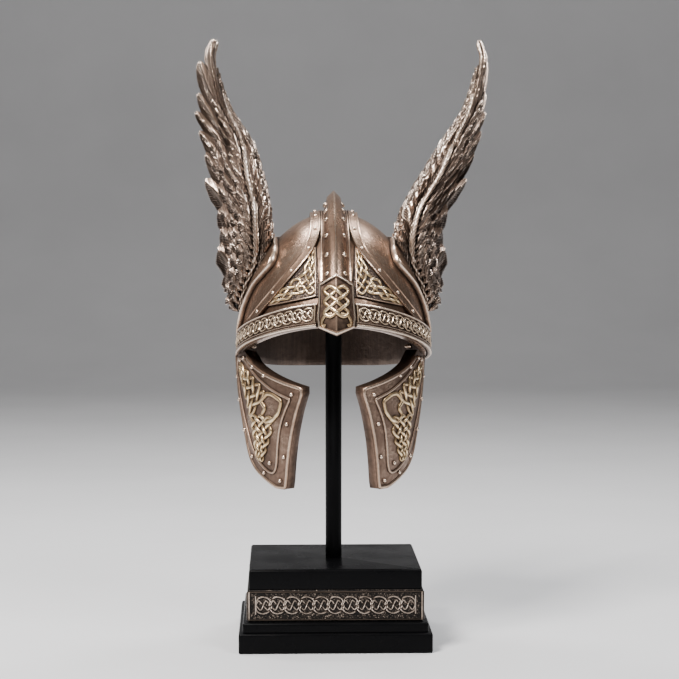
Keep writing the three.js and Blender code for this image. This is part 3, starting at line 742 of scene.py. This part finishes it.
shell = Shell()
columns = [0, 0.05, 0.12, 0.2, 0.3, 0.42, 0.55, 0.68, 0.78, 0.84, 0.88, 0.92, 0.96, 1.0]
columns = [-c for c in reversed(columns[1:])] + columns
rows = [0, 0.012, 0.03, 0.045, 0.06, 0.075] + list(np.linspace(0.1, 0.9, 26))
rows += [0.925, 0.94, 0.955, 0.97, 0.988, 1.0]
rings, reliefs = [], []
for t in rows:
    ring, relief = [], []
    for s in columns:
        edge = min((1 - abs(s)) * BROW_WIDE, t * BROW_TALL, (1 - t) * BROW_TALL * 0.8)
        rim = ease(edge, -0.2, 0.45) * (1 - ease(edge, 1.15, 1.6))
        ring.append(brow_roof(*brow_place(s, t), -1.25 + 1.35 * rim))
        relief.append(0.08 + 0.9 * rim + (0.6 if s == 0 else 0) * (1 - rim))
    ring += [on_brow(*brow_place(s, t), SEAT) for s in reversed(columns)]
    rings.append(ring)
    reliefs.append(relief + [0.2] * len(columns))
shell.loft(rings, reliefs, 0)
woven(shell, brow_roof, lattice(2, 3, [(0, 201.0), (0, 184.4)], (6.6, 6.6), 1.02), 1.2, -1.3, 0.5, 1)
for sign in (-1, 1):
    claw = rounded([(sign * x, z) for x, z in BROW_CLAW], 3, False)
    shell.strand(brow_roof, claw, 0.85, 1.05, -1.3, slot=1)
shell.build("helmet_brow_plate", [trim_metal, gold], "knot_bronze", "brow_plate", sharp=50)

# Knot panels

PANEL_BROW, PANEL_OUTER, PANEL_PEAK = np.array([(10.6, 196.2), (37.4, 190.2), (10.3, 223.2)])
PANEL_MIDDLE = (1.25 * PANEL_BROW + 0.75 * PANEL_OUTER + PANEL_PEAK) / 3
PANEL_UPPER = [(16.2, 197.3), (15.6, 204), (13.4, 212), (11.6, 222)]  # spines of the two knots
PANEL_LOWER = [(17, 203.6), (24, 199), (30, 195.2), (36, 191.2)]


def panel_place(a, b, inset=0.0):
    """Along the panel's foot, up to its peak, and drawn in towards its middle."""
    return tuple(mix(mix(mix(PANEL_BROW, PANEL_OUTER, a), PANEL_PEAK, b), PANEL_MIDDLE, inset))


for word, side in SIDES.items():
    shell = Shell()
    surface = lambda x, z, lift: on_brow(side * x, z, lift)
    rings = []
    for b in np.linspace(0, 0.985, 26):
        row = [panel_place(a, b) for a in np.linspace(-0.06, 1.0, 22)]
        rings.append([surface(x, z, 1.0) for x, z in row] + [surface(x, z, SEAT) for x, z in reversed(row)])
    shell.loft(rings, [0.4] * 44, 0)
    edge = [panel_place(a, 0.0, 0.05) for a in np.linspace(0, 1, 30)]
    edge += [panel_place(1, b, 0.05) for b in np.linspace(0.03, 1, 30)]
    edge += [panel_place(0, b, 0.05) for b in np.linspace(0.97, 0.03, 26)]
    shell.strand(surface, edge, 0.42, 0.6, 0.95, None, True, 2)
    strands = lattice(2, 4, PANEL_UPPER, (5.0, 4.4, 2.6, 0.9), 0.78, 1.4)
    strands += lattice(2, 3, PANEL_LOWER, (4.6, 3.6, 2.2, 0.7), 0.78, 1.4)
    woven(shell, surface, strands, 1.0, 0.8, 0.4, 1)
    shell.build("helmet_knot_panel_" + word, [ground, gold, trim_metal], "knot_bronze", "knot_panel_" + word)

# Wing plates

PLATE = table(
    "z front back",
    (174, -9, 15), (186, -12, 18), (194, -16, 22), (201, -20, 26), (206.5, -25, 30.5), (212, -28, 33), (217, -26, 32),
    (222, -20, 27), (226.5, -9, 17),
)
PLATE_TOP = PLATE["z"][-1]
plate_front, plate_back = (curve(PLATE["z"], PLATE[name]) for name in ("front", "back"))
shares = [0, 0.008, 0.02, 0.032, 0.045, 0.056, 0.07, 0.084, 0.1] + list(np.linspace(0.14, 0.5, 9))
shares += [1 - s for s in reversed(shares[:-1])]
for word, side in SIDES.items():
    shell = Shell()
    rings, reliefs = [], []
    for z in list(np.linspace(174.5, 222, 44)) + [223, 224, 224.8, 225.4, 226, PLATE_TOP]:
        front, back = plate_front(z), plate_back(z)
        ring, relief = [], []
        for s in shares:
            y = mix(front, back, s)
            d = min(y - front, back - y, (PLATE_TOP - z) * 1.25)
            bead = ease(d, -0.2, 0.5) * (1 - ease(d, 1.2, 1.7))
            second = ease(d, 1.9, 2.3) * (1 - ease(d, 2.7, 3.2))
            ring.append(from_side(side, y, z, 1.9 + 1.25 * bead + 0.85 * second))
            relief.append(min(1.0, 0.4 + 0.6 * bead + 0.5 * second))
        ring += [from_side(side, mix(front, back, s), z, SEAT) for s in reversed(shares)]
        rings.append(ring)
        reliefs.append(relief + [0.2] * len(shares))
    shell.loft(rings, reliefs, 0)
    shell.build("helmet_wing_plate_" + word, [trim_metal], "bronze", "wing_plate_" + word)

# Cheek guards

GUARD_BACK, GUARD_FRONT, GUARD_TURN, GUARD_TUCK, GUARD_THICK = (53.4, 4.0), (12.0, -57.0), 45.0, 3.0, 7.0
GUARD_TOP, GUARD_LOW = 176.0, 90.2
EDGES = table(
    "z back front",
    (90.2, 47, 55.9), (94.6, 35, 57.1), (99, 25.5, 57.9), (106, 18.5, 59.1), (118, 13.2, 61.7), (132, 7, 65.9),
    (143.6, 2.6, 70.5), (147.2, 1.8, 70.5), (150, 1.2, 56.5), (154.5, 0.2, 39), (160, -0.5, 24), (166, -1, 17),
    (176, -1, 12),
)
TOE = 7  # the row above the blunt corner of the front edge
GUARD_LINE = (  # the raised line inside the border: along the guard, height
    (12.5, 160), (19.5, 159), (25, 155.5), (32, 151.2), (40, 147.6), (49.5, 143.6), (61, 140.4), (61.2, 139.8),
    (56.4, 132), (52.8, 123.8), (50.6, 113), (49.4, 103.5), (47, 98.2), (41, 98.6), (33, 102.6), (26.5, 108),
    (20, 117.5), (13.5, 129.5), (8, 140), (5, 149), (5, 156), (8, 160),
)
GUARD_LOOP = (
    (36.5, 137.5), (43, 142.3), (48, 142), (55, 138.8), (52.4, 132), (47, 127.6), (41.5, 126.2), (36.5, 129.5),
    (41, 134),
)
GUARD_LOWER = [(36, 130), (36, 121), (34.5, 112), (33, 103)]  # spines of the two knots
GUARD_UPPER = [(33.5, 134), (28, 140.5), (19.5, 148), (8.5, 157)]
GUARD_PEG = (15.8, 166.6)  # the peg inside the helmet at the guard's top corner
GUARD_RIVETS = (
    (10.5, 158.8), (16.6, 160.4), (28, 156), (40, 152), (62.6, 143), (58.6, 126.4), (55.5, 108), (43, 103.5),
    (51.5, 94.5), (37, 97.6), (24, 105.5), (14, 119.5), (6.5, 136), (3.4, 149),
)
guard_back = curve(EDGES["z"], EDGES["back"])
below_toe = curve(EDGES["z"][:TOE], EDGES["front"][:TOE])
above_toe = curve(EDGES["z"][TOE:], EDGES["front"][TOE:])


def guard_edge(z):
    """The front edge: two smooth runs that meet in a blunt corner."""
    if z <= EDGES["z"][TOE - 1]:
        return below_toe(z)
    return above_toe(z) if z >= EDGES["z"][TOE] else EDGES["front"][TOE]


def on_guard(side, out):
    """Along a guard's arc from its back, height, and lift out of its outer face."""
    cx, cy = GUARD_FRONT[0] - GUARD_BACK[0], GUARD_FRONT[1] - GUARD_BACK[1]
    turn = radians(GUARD_TURN)
    radius = hypot(cx, cy) / (2 * sin(turn / 2))
    start = atan2(-cx, -cy) - turn / 2

    def place(u, z, lift):
        heading = start + u / radius
        x = GUARD_BACK[0] - radius * (cos(start) - cos(heading))
        y = GUARD_BACK[1] - radius * (sin(heading) - sin(start))
        low = (GUARD_TOP - z) / (GUARD_TOP - GUARD_LOW)
        inset = GUARD_TUCK * low * low - lift
        return np.array([side * (x + out - cos(heading) * inset), y + sin(heading) * inset, z])

    return place


def guard_section(back, front):
    """Once round a guard at one height: along it, and lift."""
    columns = [0, 0.02, 0.05] + list(np.linspace(0.1, 0.9, 20)) + [0.95, 0.98, 1.0]
    deep = GUARD_THICK
    section = [(mix(back + 0.7, front - 0.7, s), 0.0) for s in columns]
    section += [(front - 0.2, -0.2), (front, -0.8), (front, -3.5), (front, 0.8 - deep), (front - 0.6, -deep)]
    section += [(mix(back + 0.6, front - 0.6, s), -deep) for s in reversed(columns[1:-1])]
    return section + [(back + 0.6, -deep), (back, 0.8 - deep), (back, -3.5), (back, -0.8), (back + 0.2, -0.2)]


levels = [164.9, 158.5] + list(np.linspace(157.5, 147.6, 16)) + [147.2, 146, 145, 143.6]
levels += list(np.linspace(142, 92, 44)) + [91.2, 90.6, 90.2]
front_levels = np.concatenate([np.linspace(161.5, 147.4, 40), [145.6], np.linspace(143.4, 91, 70)])
border = [(guard_edge(z) - 1.1, z - (0.9 if z > 147.3 else 0)) for z in front_levels]
border += [(mix(guard_edge(91), guard_back(91), s) - 0.6, 90.9) for s in (0.35, 0.7)]
border += [(guard_back(z) + 1.1, z + 0.4) for z in np.linspace(92, 160.5, 90)]
for word, (side, out) in GUARDS.items():
    shell = Shell()
    surface = on_guard(side, out)
    rings, reliefs = [], []
    for n, z in enumerate(levels):
        section = guard_section(guard_back(z), guard_edge(z))
        ring = [surface(u, z, lift) for u, lift in section]
        if n == 0:
            for p in ring:
                p[2] = min(z, rim_over(p) - 0.05)
        rings.append(ring)
        reliefs.append([0.5 if lift > -0.1 else 0.35 if lift > -1 else 0.12 for _, lift in section])
    shell.loft(rings, reliefs, 0)
    shell.strand(surface, rounded(border, 1, False), 1.2, 1.1, -0.4, slot=1)
    shell.strand(surface, rounded(GUARD_LINE, 3), 0.9, 1.0, -0.1, None, True, 1)
    strands = lattice(3, 5, GUARD_LOWER, (12.0, 10.2, 6.4, 2.8), 1.08)
    strands += lattice(2, 5, GUARD_UPPER, (12.0, 10.5, 6.4, 2.0), 1.12)
    strands.append(softened(GUARD_LOOP, 1.4))
    woven(shell, surface, strands, 1.25, -0.15, 0.55, 2)
    u, z = GUARD_PEG
    shell.rivet(lambda du, dv, h: surface(u + du, z + dv, -4.4 - h), 1.4, 3.6, 1)
    for u, z in GUARD_RIVETS:
        shell.rivet(lambda du, dv, h: surface(u + du, z + dv, h), 1.3, 1.35, 1)
    metals = [guard_metal, trim_metal, gold]
    shell.build("helmet_cheek_guard_" + word, metals, "bronze", "cheek_guard_" + word, sharp=50)

# Wings

LINE = table(  # at each height: outward and backward offsets, chord, and how far the two faces swell
    "z out back chord swell inner",
    (186, 9.6, -3, 9, 0.3, 1), (200, 5.6, -8, 22, 0.6, 4), (212, 0.6, -12, 35, 0.9, 8), (224, -0.8, -13, 38, 1, 11),
    (238, 0.8, -11, 37, 1, 12), (252, 5, -7, 33, 0.88, 12), (268, 11.6, -1, 28, 0.72, 10.8), (284, 18, 6, 22, 0.55, 8),
    (300, 26.4, 14, 15, 0.4, 4.6), (317, 32, 22, 9, 0.28, 3), (332, 34.6, 30, 5, 0.18, 2.2),
    (342.4, 32.2, 36, 1.5, 0.12, 1),
)
WING_FOOT, WING_TIP = LINE["z"][0], LINE["z"][-1]
line = {name: curve(LINE["z"], LINE[name]) for name in ("out", "back", "chord", "swell", "inner")}
OUTER_FACE = ((0, 0.14, 0.5, 1, 3), (0.5, 2.4, 2.6, 0.2, 0.2))  # shares of the chord, of the swell
INNER_FACE = ((0, 0.1, 0.3, 0.62, 1, 3), (0.5, 0.92, 0.95, 0.5, 0.05, 0.05))
FLANK = ((0, 0.5, 0), (0, 0, 0.5), (0.1, 0, 0.92), (0.3, 0, 0.95), (0.62, 0, 0.5), (1, 0, 0))  # across, outward, inward
FLIGHT = (  # the root across the chord and up, the tip likewise, and the width
    (3, 276, 1, 342.4, 9), (4, 260, 10.5, 329.5, 18), (5, 248, 20, 311, 15), (5, 240, 30, 300.5, 18),
    (6, 233, 38, 289, 18), (6, 227, 40.5, 276, 18), (6, 219, 48.5, 260.5, 17), (6, 211, 40, 242, 16),
    (6, 205, 39, 231, 15), (6, 200, 43, 220, 15), (5, 196, 27, 207, 13), (4, 191, 16, 196.5, 10),
)
OUTER_ROW = (  # long ones along the leading edge, and those above the tiles
    (3, 262, 6.5, 312, 6), (4, 243, 9.5, 291, 8), (5, 249, 20, 283, 10.5), (8, 243, 27, 270, 11.5),
    (11, 236, 32, 257, 12), (12, 227, 34, 243, 12), (12, 218, 33, 230, 12),
)
INNER_ROW = (
    (2, 290, 4, 322, 6), (2, 280, 8, 311, 8), (3, 270, 12, 301, 9), (3, 260, 16, 291, 10), (4, 250, 20, 281, 11.5),
    (5, 240, 24, 270, 12), (6, 230, 27, 258, 12), (7, 222, 30, 246, 12), (8, 216, 32, 235, 12),
)
LOW_FLIGHT = 262  # the barbs of flight feathers with lower tips lean less
COVERTS = (  # across the chord, top of the column, size, lift
    (25, 256, 12.0, 0.5), (18.5, 262, 12.0, 1.0), (12, 258, 11.0, 1.5), (6, 248, 9.5, 2.0),
)
RIB_TOP = 342
RIB_BLADES = ((208, 249, 3.6), (238, 281, 4.2), (268, 311, 4.4), (298, 340.5, 3.6))  # from, to, width
BARB = ((0, 0.0), (0.5, 1.0))  # share of the way to the next barb, height
STYLES = {  # rise of the tip, camber, pitch of the barbs, slant of the barbs, depth of the barbs
    "flight": (0.2, 0.05, 1.7, 1.6, 0.9),
    "low_flight": (0.2, 0.05, 1.7, 1.2, 0.9),
    "row": (1.2, 0.1, 1.7, 1.6, 0.9),
    "covert": (1.2, 0.14, 1.7, 1.9, 0.9),
    "tuft": (1.3, 0.14, 1.7, 1.7, 0.9),
    "trailing": (1.0, 0.12, 1.7, 1.6, 0.9),
    "blade": (0.6, 0.15, 2.4, 2.4, 0.5),
}


def on_wing(side, lean, turn):
    """Across a wing's chord, height, and height out of the chord's plane."""

    def place(c, z, h):
        span = (z - WING_FOOT) / (WING_TIP - WING_FOOT)
        splay = radians(WING_SPLAY + turn * span * span)
        x = WING_ROOT + line["out"](z) + lean * ease(z, 226, 290)
        y = line["back"](z) + c * cos(splay) - h * sin(splay)
        return side * (x + c * sin(splay) + h * cos(splay)), y, z

    return place


def face_height(face, c, z):
    """Height of the wing's body under a place on one of its faces."""
    share = max(0.0, c) / max(1.0, line["chord"](z))
    if face > 0:
        return line["swell"](z) * float(np.interp(share, *OUTER_FACE))
    return -line["inner"](z) * float(np.interp(share, *INNER_FACE))


def feather(shell, skin, root, tip, width, lift, style, seed, both=False, slot=0, m=4):
    """One feather on a skin(u, z, lift): a shaft and rows of slanting barbs, each row a ring of the solid."""
    rng = np.random.default_rng(1000 + seed)
    tilt, camber, pitch, slant, deep = STYLES[style]
    root, tip = np.array(root, float), np.array(tip, float)
    length = float(np.linalg.norm(tip - root))
    ahead = (tip - root) / length
    across = np.array([ahead[1], -ahead[0]])
    barbs = max(5, int(length / pitch))
    blunt = (0.55 if length < 2.95 * width else 1.3) / (width / 2)
    rings, shades = [], []
    for k in range(barbs):
        size, long, tone = rng.uniform(0.7, 1.1), rng.uniform(0.94, 1.04), rng.uniform(0.75, 1.05)
        for share, ridge in BARB:
            a = (k + share) / barbs * length
            wide = width / 2 * mix(0.4, 1.0, ease(a / length, 0, 0.35)) * mix(0.96, long, ridge)
            wide = min(wide, (sqrt(slant**2 + 4 * blunt * (length - a)) - slant) / (2 * blunt))
            row, shade = [], []
            for j in range(-m, m + 1):
                b = j / m
                off = abs(b) * wide
                along = a + slant * off * (0.7 + 0.3 * abs(b))
                t = along / length
                p = root + ahead * along + across * (b * wide - 0.12 * length * t * (1 - t))
                shaft = exp(-((off / 0.45) ** 2))
                rise = mix(0.2, lift, ease(t, 0, 0.4)) + tilt * t * t + camber * wide * (1 - b * b)
                rise += 0.5 * shaft + deep * ridge * size * (1 - shaft) * min(1.0, wide / 1.5)
                row.append((float(p[0]), float(p[1]), rise))
                # Painted shade at the feather's root, rising to a painted highlight towards its tip.
                root_shade_tip_light = 0.62 + 0.38 * ease(t, 0.1, 0.95)
                shade.append((ridge * tone * (1 - shaft) + 0.8 * shaft) * root_shade_tip_light)
            ring = [skin(*p) for p in row]
            if both:
                ring += [skin(u, z, -max(0.1, rise - 2 * lift - 0.2)) for u, z, rise in reversed(row[1:-1])]
                shade += list(reversed(shade[1:-1]))
            else:
                u, z, rise = row[m]
                ring.append(skin(u, z, rise - 1.3))
                shade.append(0.1)
            rings.append(ring)
            shades.append(shade)
    shell.loft(rings, shades, slot)


def covert_places(rng):
    """Small feathers that lie like tiles over the wing's root: each one's root, tip, width and lift."""
    for across, top, size, lift in COVERTS:
        z = 188.5 + 0.3 * across
        while z < top:
            grow = by_rows(z, (190, 0.6), (215, 0.85), (262, 1.15))
            if across < by_rows(z, (188, 5), (196, 12), (206, 22), (216, 29), (240, 31), (262, 24)):
                c, long = across + rng.uniform(-1.5, 1.5), size * grow * rng.uniform(1.35, 1.7)
                a = by_rows(z, (190, 1.1), (225, 0.85), (262, 0.6)) + rng.uniform(-0.3, 0.3)
                root = (c - 0.4 * long, z)
                tip = (root[0] + long * sin(a), z + long * cos(a))
                yield root, tip, size * grow * rng.uniform(1.0, 1.3), lift
            z += size * grow * rng.uniform(0.66, 0.84)
    for z in np.arange(186, 300, 3.8):
        grow = by_rows(z, (186, 0.55), (205, 0.8), (235, 1.0), (262, 1.25), (300, 0.7))
        a = by_rows(z, (186, 0.95), (225, 0.75), (262, 0.5), (300, 0.25)) + rng.uniform(-0.15, 0.15)
        long = 12.5 * grow * rng.uniform(0.9, 1.15)
        yield (-0.6, z), (long * sin(a) - 0.6, z + long * cos(a)), 8.4 * grow, 1.6


def flank_line(z):
    """Corners of the wing's leading face and inner flank at a height, and the way along them."""
    chord, swell, depth = line["chord"](z), line["swell"](z), line["inner"](z)
    corners = np.array([(a * chord, o * swell - i * depth) for a, o, i in FLANK])
    return corners, way_along(corners)


def flank_at(s, z):
    """Across and outward at a way along the flank, or at many."""
    corners, gone = flank_line(z)
    return [np.interp(s, gone, corners[:, i]) for i in (0, 1)]


def on_flank(place):
    """Along the leading face and inner flank, height, and lift out of them."""

    def skin(s, z, lift):
        (c, c0, c1), (h, h0, h1) = flank_at([s, s - 0.6, s + 0.6], z)
        long = hypot(c1 - c0, h1 - h0) + 1e-9
        return place(c + lift * (h1 - h0) / long, z, h - lift * (c1 - c0) / long)

    return skin


def rib_at(z):
    """Way along the leading face to the bright rib, which crosses to the inner side on its way up."""
    return 0.85 * flank_line(z)[1][1] * ease(z, 258, 312)


def on_rib(place):
    """Across the rib and up it, lifted to the front."""

    def skin(u, z, lift):
        top = min(z, RIB_TOP)
        c, h = flank_at(rib_at(top), top)
        return place(c - lift, z, h - u)

    return skin


def tufts(rng):
    """Short feathers on the leading face and inner flank, in the same terms."""
    for row, (start, end) in enumerate(((0.55, 1.5), (0.25, 1.05), (0.0, 0.6))):
        for z in np.arange(187 + 2 * row, 318, 5.6):
            rib, face = rib_at(z) + 1.0, flank_line(z)[1][2]
            grow = by_rows(z, (187, 0.45), (200, 0.7), (215, 1.0), (265, 1.0), (300, 0.75), (320, 0.5))
            root = (mix(rib, face, start) + rng.uniform(-0.4, 0.4), z)
            tip = (mix(rib, face, end + rng.uniform(-0.12, 0.12)), z + 14 * grow * rng.uniform(0.85, 1.15))
            lift = 0.2 + 0.4 * row + 1.6 * (1 - ease(z, 205, 228))
            yield root, tip, 7.5 * grow * rng.uniform(0.85, 1.1), lift
    for row, (start, end) in enumerate(((0.62, 1.02), (0.4, 0.78))):
        for z in np.arange(188 + 4 * row, 326, 7.5):
            far = flank_line(z)[1][-1]
            grow = by_rows(z, (188, 0.6), (215, 1.0), (265, 1.0), (300, 0.7), (326, 0.35))
            tip = (far * end, z + 17 * grow * rng.uniform(0.9, 1.1))
            yield (far * start, z), tip, 12.5 * grow * rng.uniform(0.9, 1.1), 0.3 + 0.5 * row
    for z in np.arange(240, 312, 8):
        grow = by_rows(z, (240, 1.0), (312, 0.6))
        yield (rib_at(z), z), (0.12 * rib_at(z + 24 * grow), z + 25 * grow), 6.0 * grow, 0.7


def trailing_row():
    """Feathers along the back of the inner face, in the same terms."""
    for z in np.arange(187, 322, 6.5):
        grow = by_rows(z, (187, 0.45), (212, 1.0), (270, 1.0), (322, 0.4))
        high = z + 16 * grow
        yield (0.5 * line["chord"](z), z), (line["chord"](high), high), 13 * grow, 0.5


def wing_body(shell, place):
    """The wing's core, under the feathers."""
    rings = []
    for z in np.arange(187, 333, 1.0):
        small = (0.3 + 0.7 * ease(z, 186, 198)) * mix(1.0, 0.35, ease(z, 308, 333))
        around = flank_at(np.linspace(0, flank_line(z)[1][-1], 24), z)
        ring = [place(c * small, z, h) for c, h in zip(*around)]
        chord, swell = line["chord"](z) * small, line["swell"](z)
        for a in (0.75, 0.5, 0.3, 0.14, 0.06):
            ring.append(place(a * chord, z, swell * float(np.interp(a, *OUTER_FACE)) - 0.1))
        rings.append(ring)
    shell.loft(rings, [0.35] * len(rings[0]), 0)


def wing_rib(shell, place):
    """The bright leading edge: a thick shaft under overlapping blades."""
    skin = on_rib(place)
    rings, shades = [], []
    for z in np.linspace(187, 341.6, 390):
        size = by_rows(
            z, (187, 0.6), (192, 1.3), (214, 1.5), (250, 1.5), (285, 1.5), (315, 1.35), (335, 0.9), (341.6, 0.35)
        )
        ring, shade = [], []
        for a in full_turn(14):
            ripple = 0.15 * sin(3 * a + 0.9 * z) + 0.13 * sin(5 * a - 1.7 * z)
            r = size * (1 + ripple)
            ring.append(skin(r * cos(a), z, 0.2 + r * sin(a)))
            shade.append(mix(0.3, 0.66, ease(z, 212, 222)) + 2.2 * ripple)
        rings.append(ring)
        shades.append(shade)
    shell.loft(rings, shades, 1)
    for n, (low, high, width) in enumerate(RIB_BLADES):
        feather(shell, skin, (0.3, low), (0, high), width, 1.4, "blade", 500 + n, slot=1)


for word, (side, lean, turn) in WINGS.items():
    shell = Shell()
    place = on_wing(side, lean, turn)
    wing_body(shell, place)
    outer = lambda c, z, lift: place(c, z, face_height(1, c, z) + lift)
    inner = lambda c, z, lift: place(c, z, face_height(-1, c, z) - lift)
    seed = 0
    for skin, group in ((outer, FLIGHT), (outer, OUTER_ROW), (inner, INNER_ROW)):
        for c, z, tip_c, tip_z, width in group:
            flight = group is FLIGHT
            style = "row" if not flight else "low_flight" if tip_z < LOW_FLIGHT else "flight"
            feather(shell, skin, (c, z), (tip_c, tip_z), width, 0.5 if flight else 0.8, style, seed, flight)
            seed += 1
    rng = np.random.default_rng(7)
    for skin, style, seed, m, places in (
        (outer, "covert", 100, 4, covert_places(rng)),
        (on_flank(place), "tuft", 300, 3, tufts(rng)),
        (inner, "trailing", 700, 3, trailing_row()),
    ):
        for n, (root, tip, width, lift) in enumerate(places):
            feather(shell, skin, root, tip, width, lift, style, seed + n, m=m)
    wing_rib(shell, place)
    shell.build("helmet_wing_" + word, [feather_metal, rib_metal], "feather_bronze", "wing_" + word, sharp=75)

# Floor, light and camera

SWEEP_BACK, SWEEP_RADIUS, SWEEP_TOP = 1.6, 0.9, 3.5  # the floor turns up into a backdrop
sweep = bpy.data.meshes.new("floor")
profile = [(-2.5, 0), (SWEEP_BACK, 0)]
for a in np.linspace(0.1, pi / 2, 14):
    profile.append((SWEEP_BACK + SWEEP_RADIUS * sin(a), SWEEP_RADIUS * (1 - cos(a))))
profile.append((2.5, SWEEP_TOP))
points = [(x, y, z - 0.0002) for y, z in profile for x in (-4, 4)]
sweep.from_pydata(points, [], [(2 * i, 2 * i + 1, 2 * i + 3, 2 * i + 2) for i in range(len(profile) - 1)])
sweep.polygons.foreach_set("use_smooth", [True] * len(sweep.polygons))
look = Look("pale_floor", 0.0, 0.55)
look.ramp(look.noise(scale=6, detail=3), "Base Color", (0.3, (0.60, 0.60, 0.61)), (0.7, (0.64, 0.64, 0.65)))
sweep.materials.append(look.material)
floor = bpy.data.objects.new("floor", sweep)
bpy.context.scene.collection.objects.link(floor)

world = bpy.data.worlds.new("studio")
bpy.context.scene.world = world
world.use_nodes = True
world.node_tree.nodes["Background"].inputs["Color"].default_value = (0.62, 0.64, 0.68, 1)
world.node_tree.nodes["Background"].inputs["Strength"].default_value = 0.12


def stand_at(thing, right, up, back, spot):
    """Puts an object in the scene, facing away from back."""
    thing.matrix_world = Matrix([(right[i], up[i], back[i], spot[i]) for i in range(3)] + [(0, 0, 0, 1)])
    bpy.context.scene.collection.objects.link(thing)


def softbox(name, spot, aim, size, energy, colour=(1, 1, 1)):
    lamp = bpy.data.lights.new(name, "AREA")
    lamp.shape, lamp.size, lamp.size_y = "RECTANGLE", size[0], size[1]
    lamp.energy, lamp.color = energy, colour
    back = np.array(spot, float) - np.array(aim, float)
    back /= np.linalg.norm(back)
    right = np.cross((0, 0, 1), back)
    right /= np.linalg.norm(right)
    stand_at(bpy.data.objects.new(name, lamp), right, np.cross(back, right), back, spot)


softbox("key", (-0.5, -0.62, 1.02), (0, 0, 0.24), (0.34, 0.34), 33, (1.0, 0.97, 0.94))
softbox("fill", (0.62, -0.6, 0.95), (0, 0, 0.24), (0.34, 0.34), 8, (0.97, 0.98, 1.0))
softbox("top", (0.0, 0.35, 1.1), (0, 0, 0.2), (0.7, 0.4), 8)
for name, x in (("rim_left", -0.42), ("rim_right", 0.42)):
    softbox(name, (x, 0.42, 0.98), (0, 0, 0.22), (0.2, 0.2), 4.0)

# The camera stands almost straight in front; focal length, axis and horizon are in pixels of a square picture.
AZIMUTH, DISTANCE, HEIGHT = radians(-1.5), 1.143, 0.243
PIXELS, FOCAL, AXIS, HORIZON, SENSOR = 679, 2015.0, 333.5, 210.6, 36.0
spot = np.array([sin(AZIMUTH) * DISTANCE, -cos(AZIMUTH) * DISTANCE, HEIGHT])
yaw = atan2(-spot[0], -spot[1]) - atan((AXIS - PIXELS / 2) / FOCAL)
pitch = -atan((PIXELS / 2 - HORIZON) / FOCAL)
ahead = np.array([sin(yaw) * cos(pitch), cos(yaw) * cos(pitch), sin(pitch)])
right = np.array([cos(yaw), -sin(yaw), 0.0])
lens = bpy.data.cameras.new("camera")
lens.sensor_width = SENSOR
lens.lens = FOCAL / PIXELS * SENSOR
lens.clip_start = 0.05
camera = bpy.data.objects.new("camera", lens)
stand_at(camera, right, np.cross(right, ahead), -ahead, spot)
bpy.context.scene.camera = camera
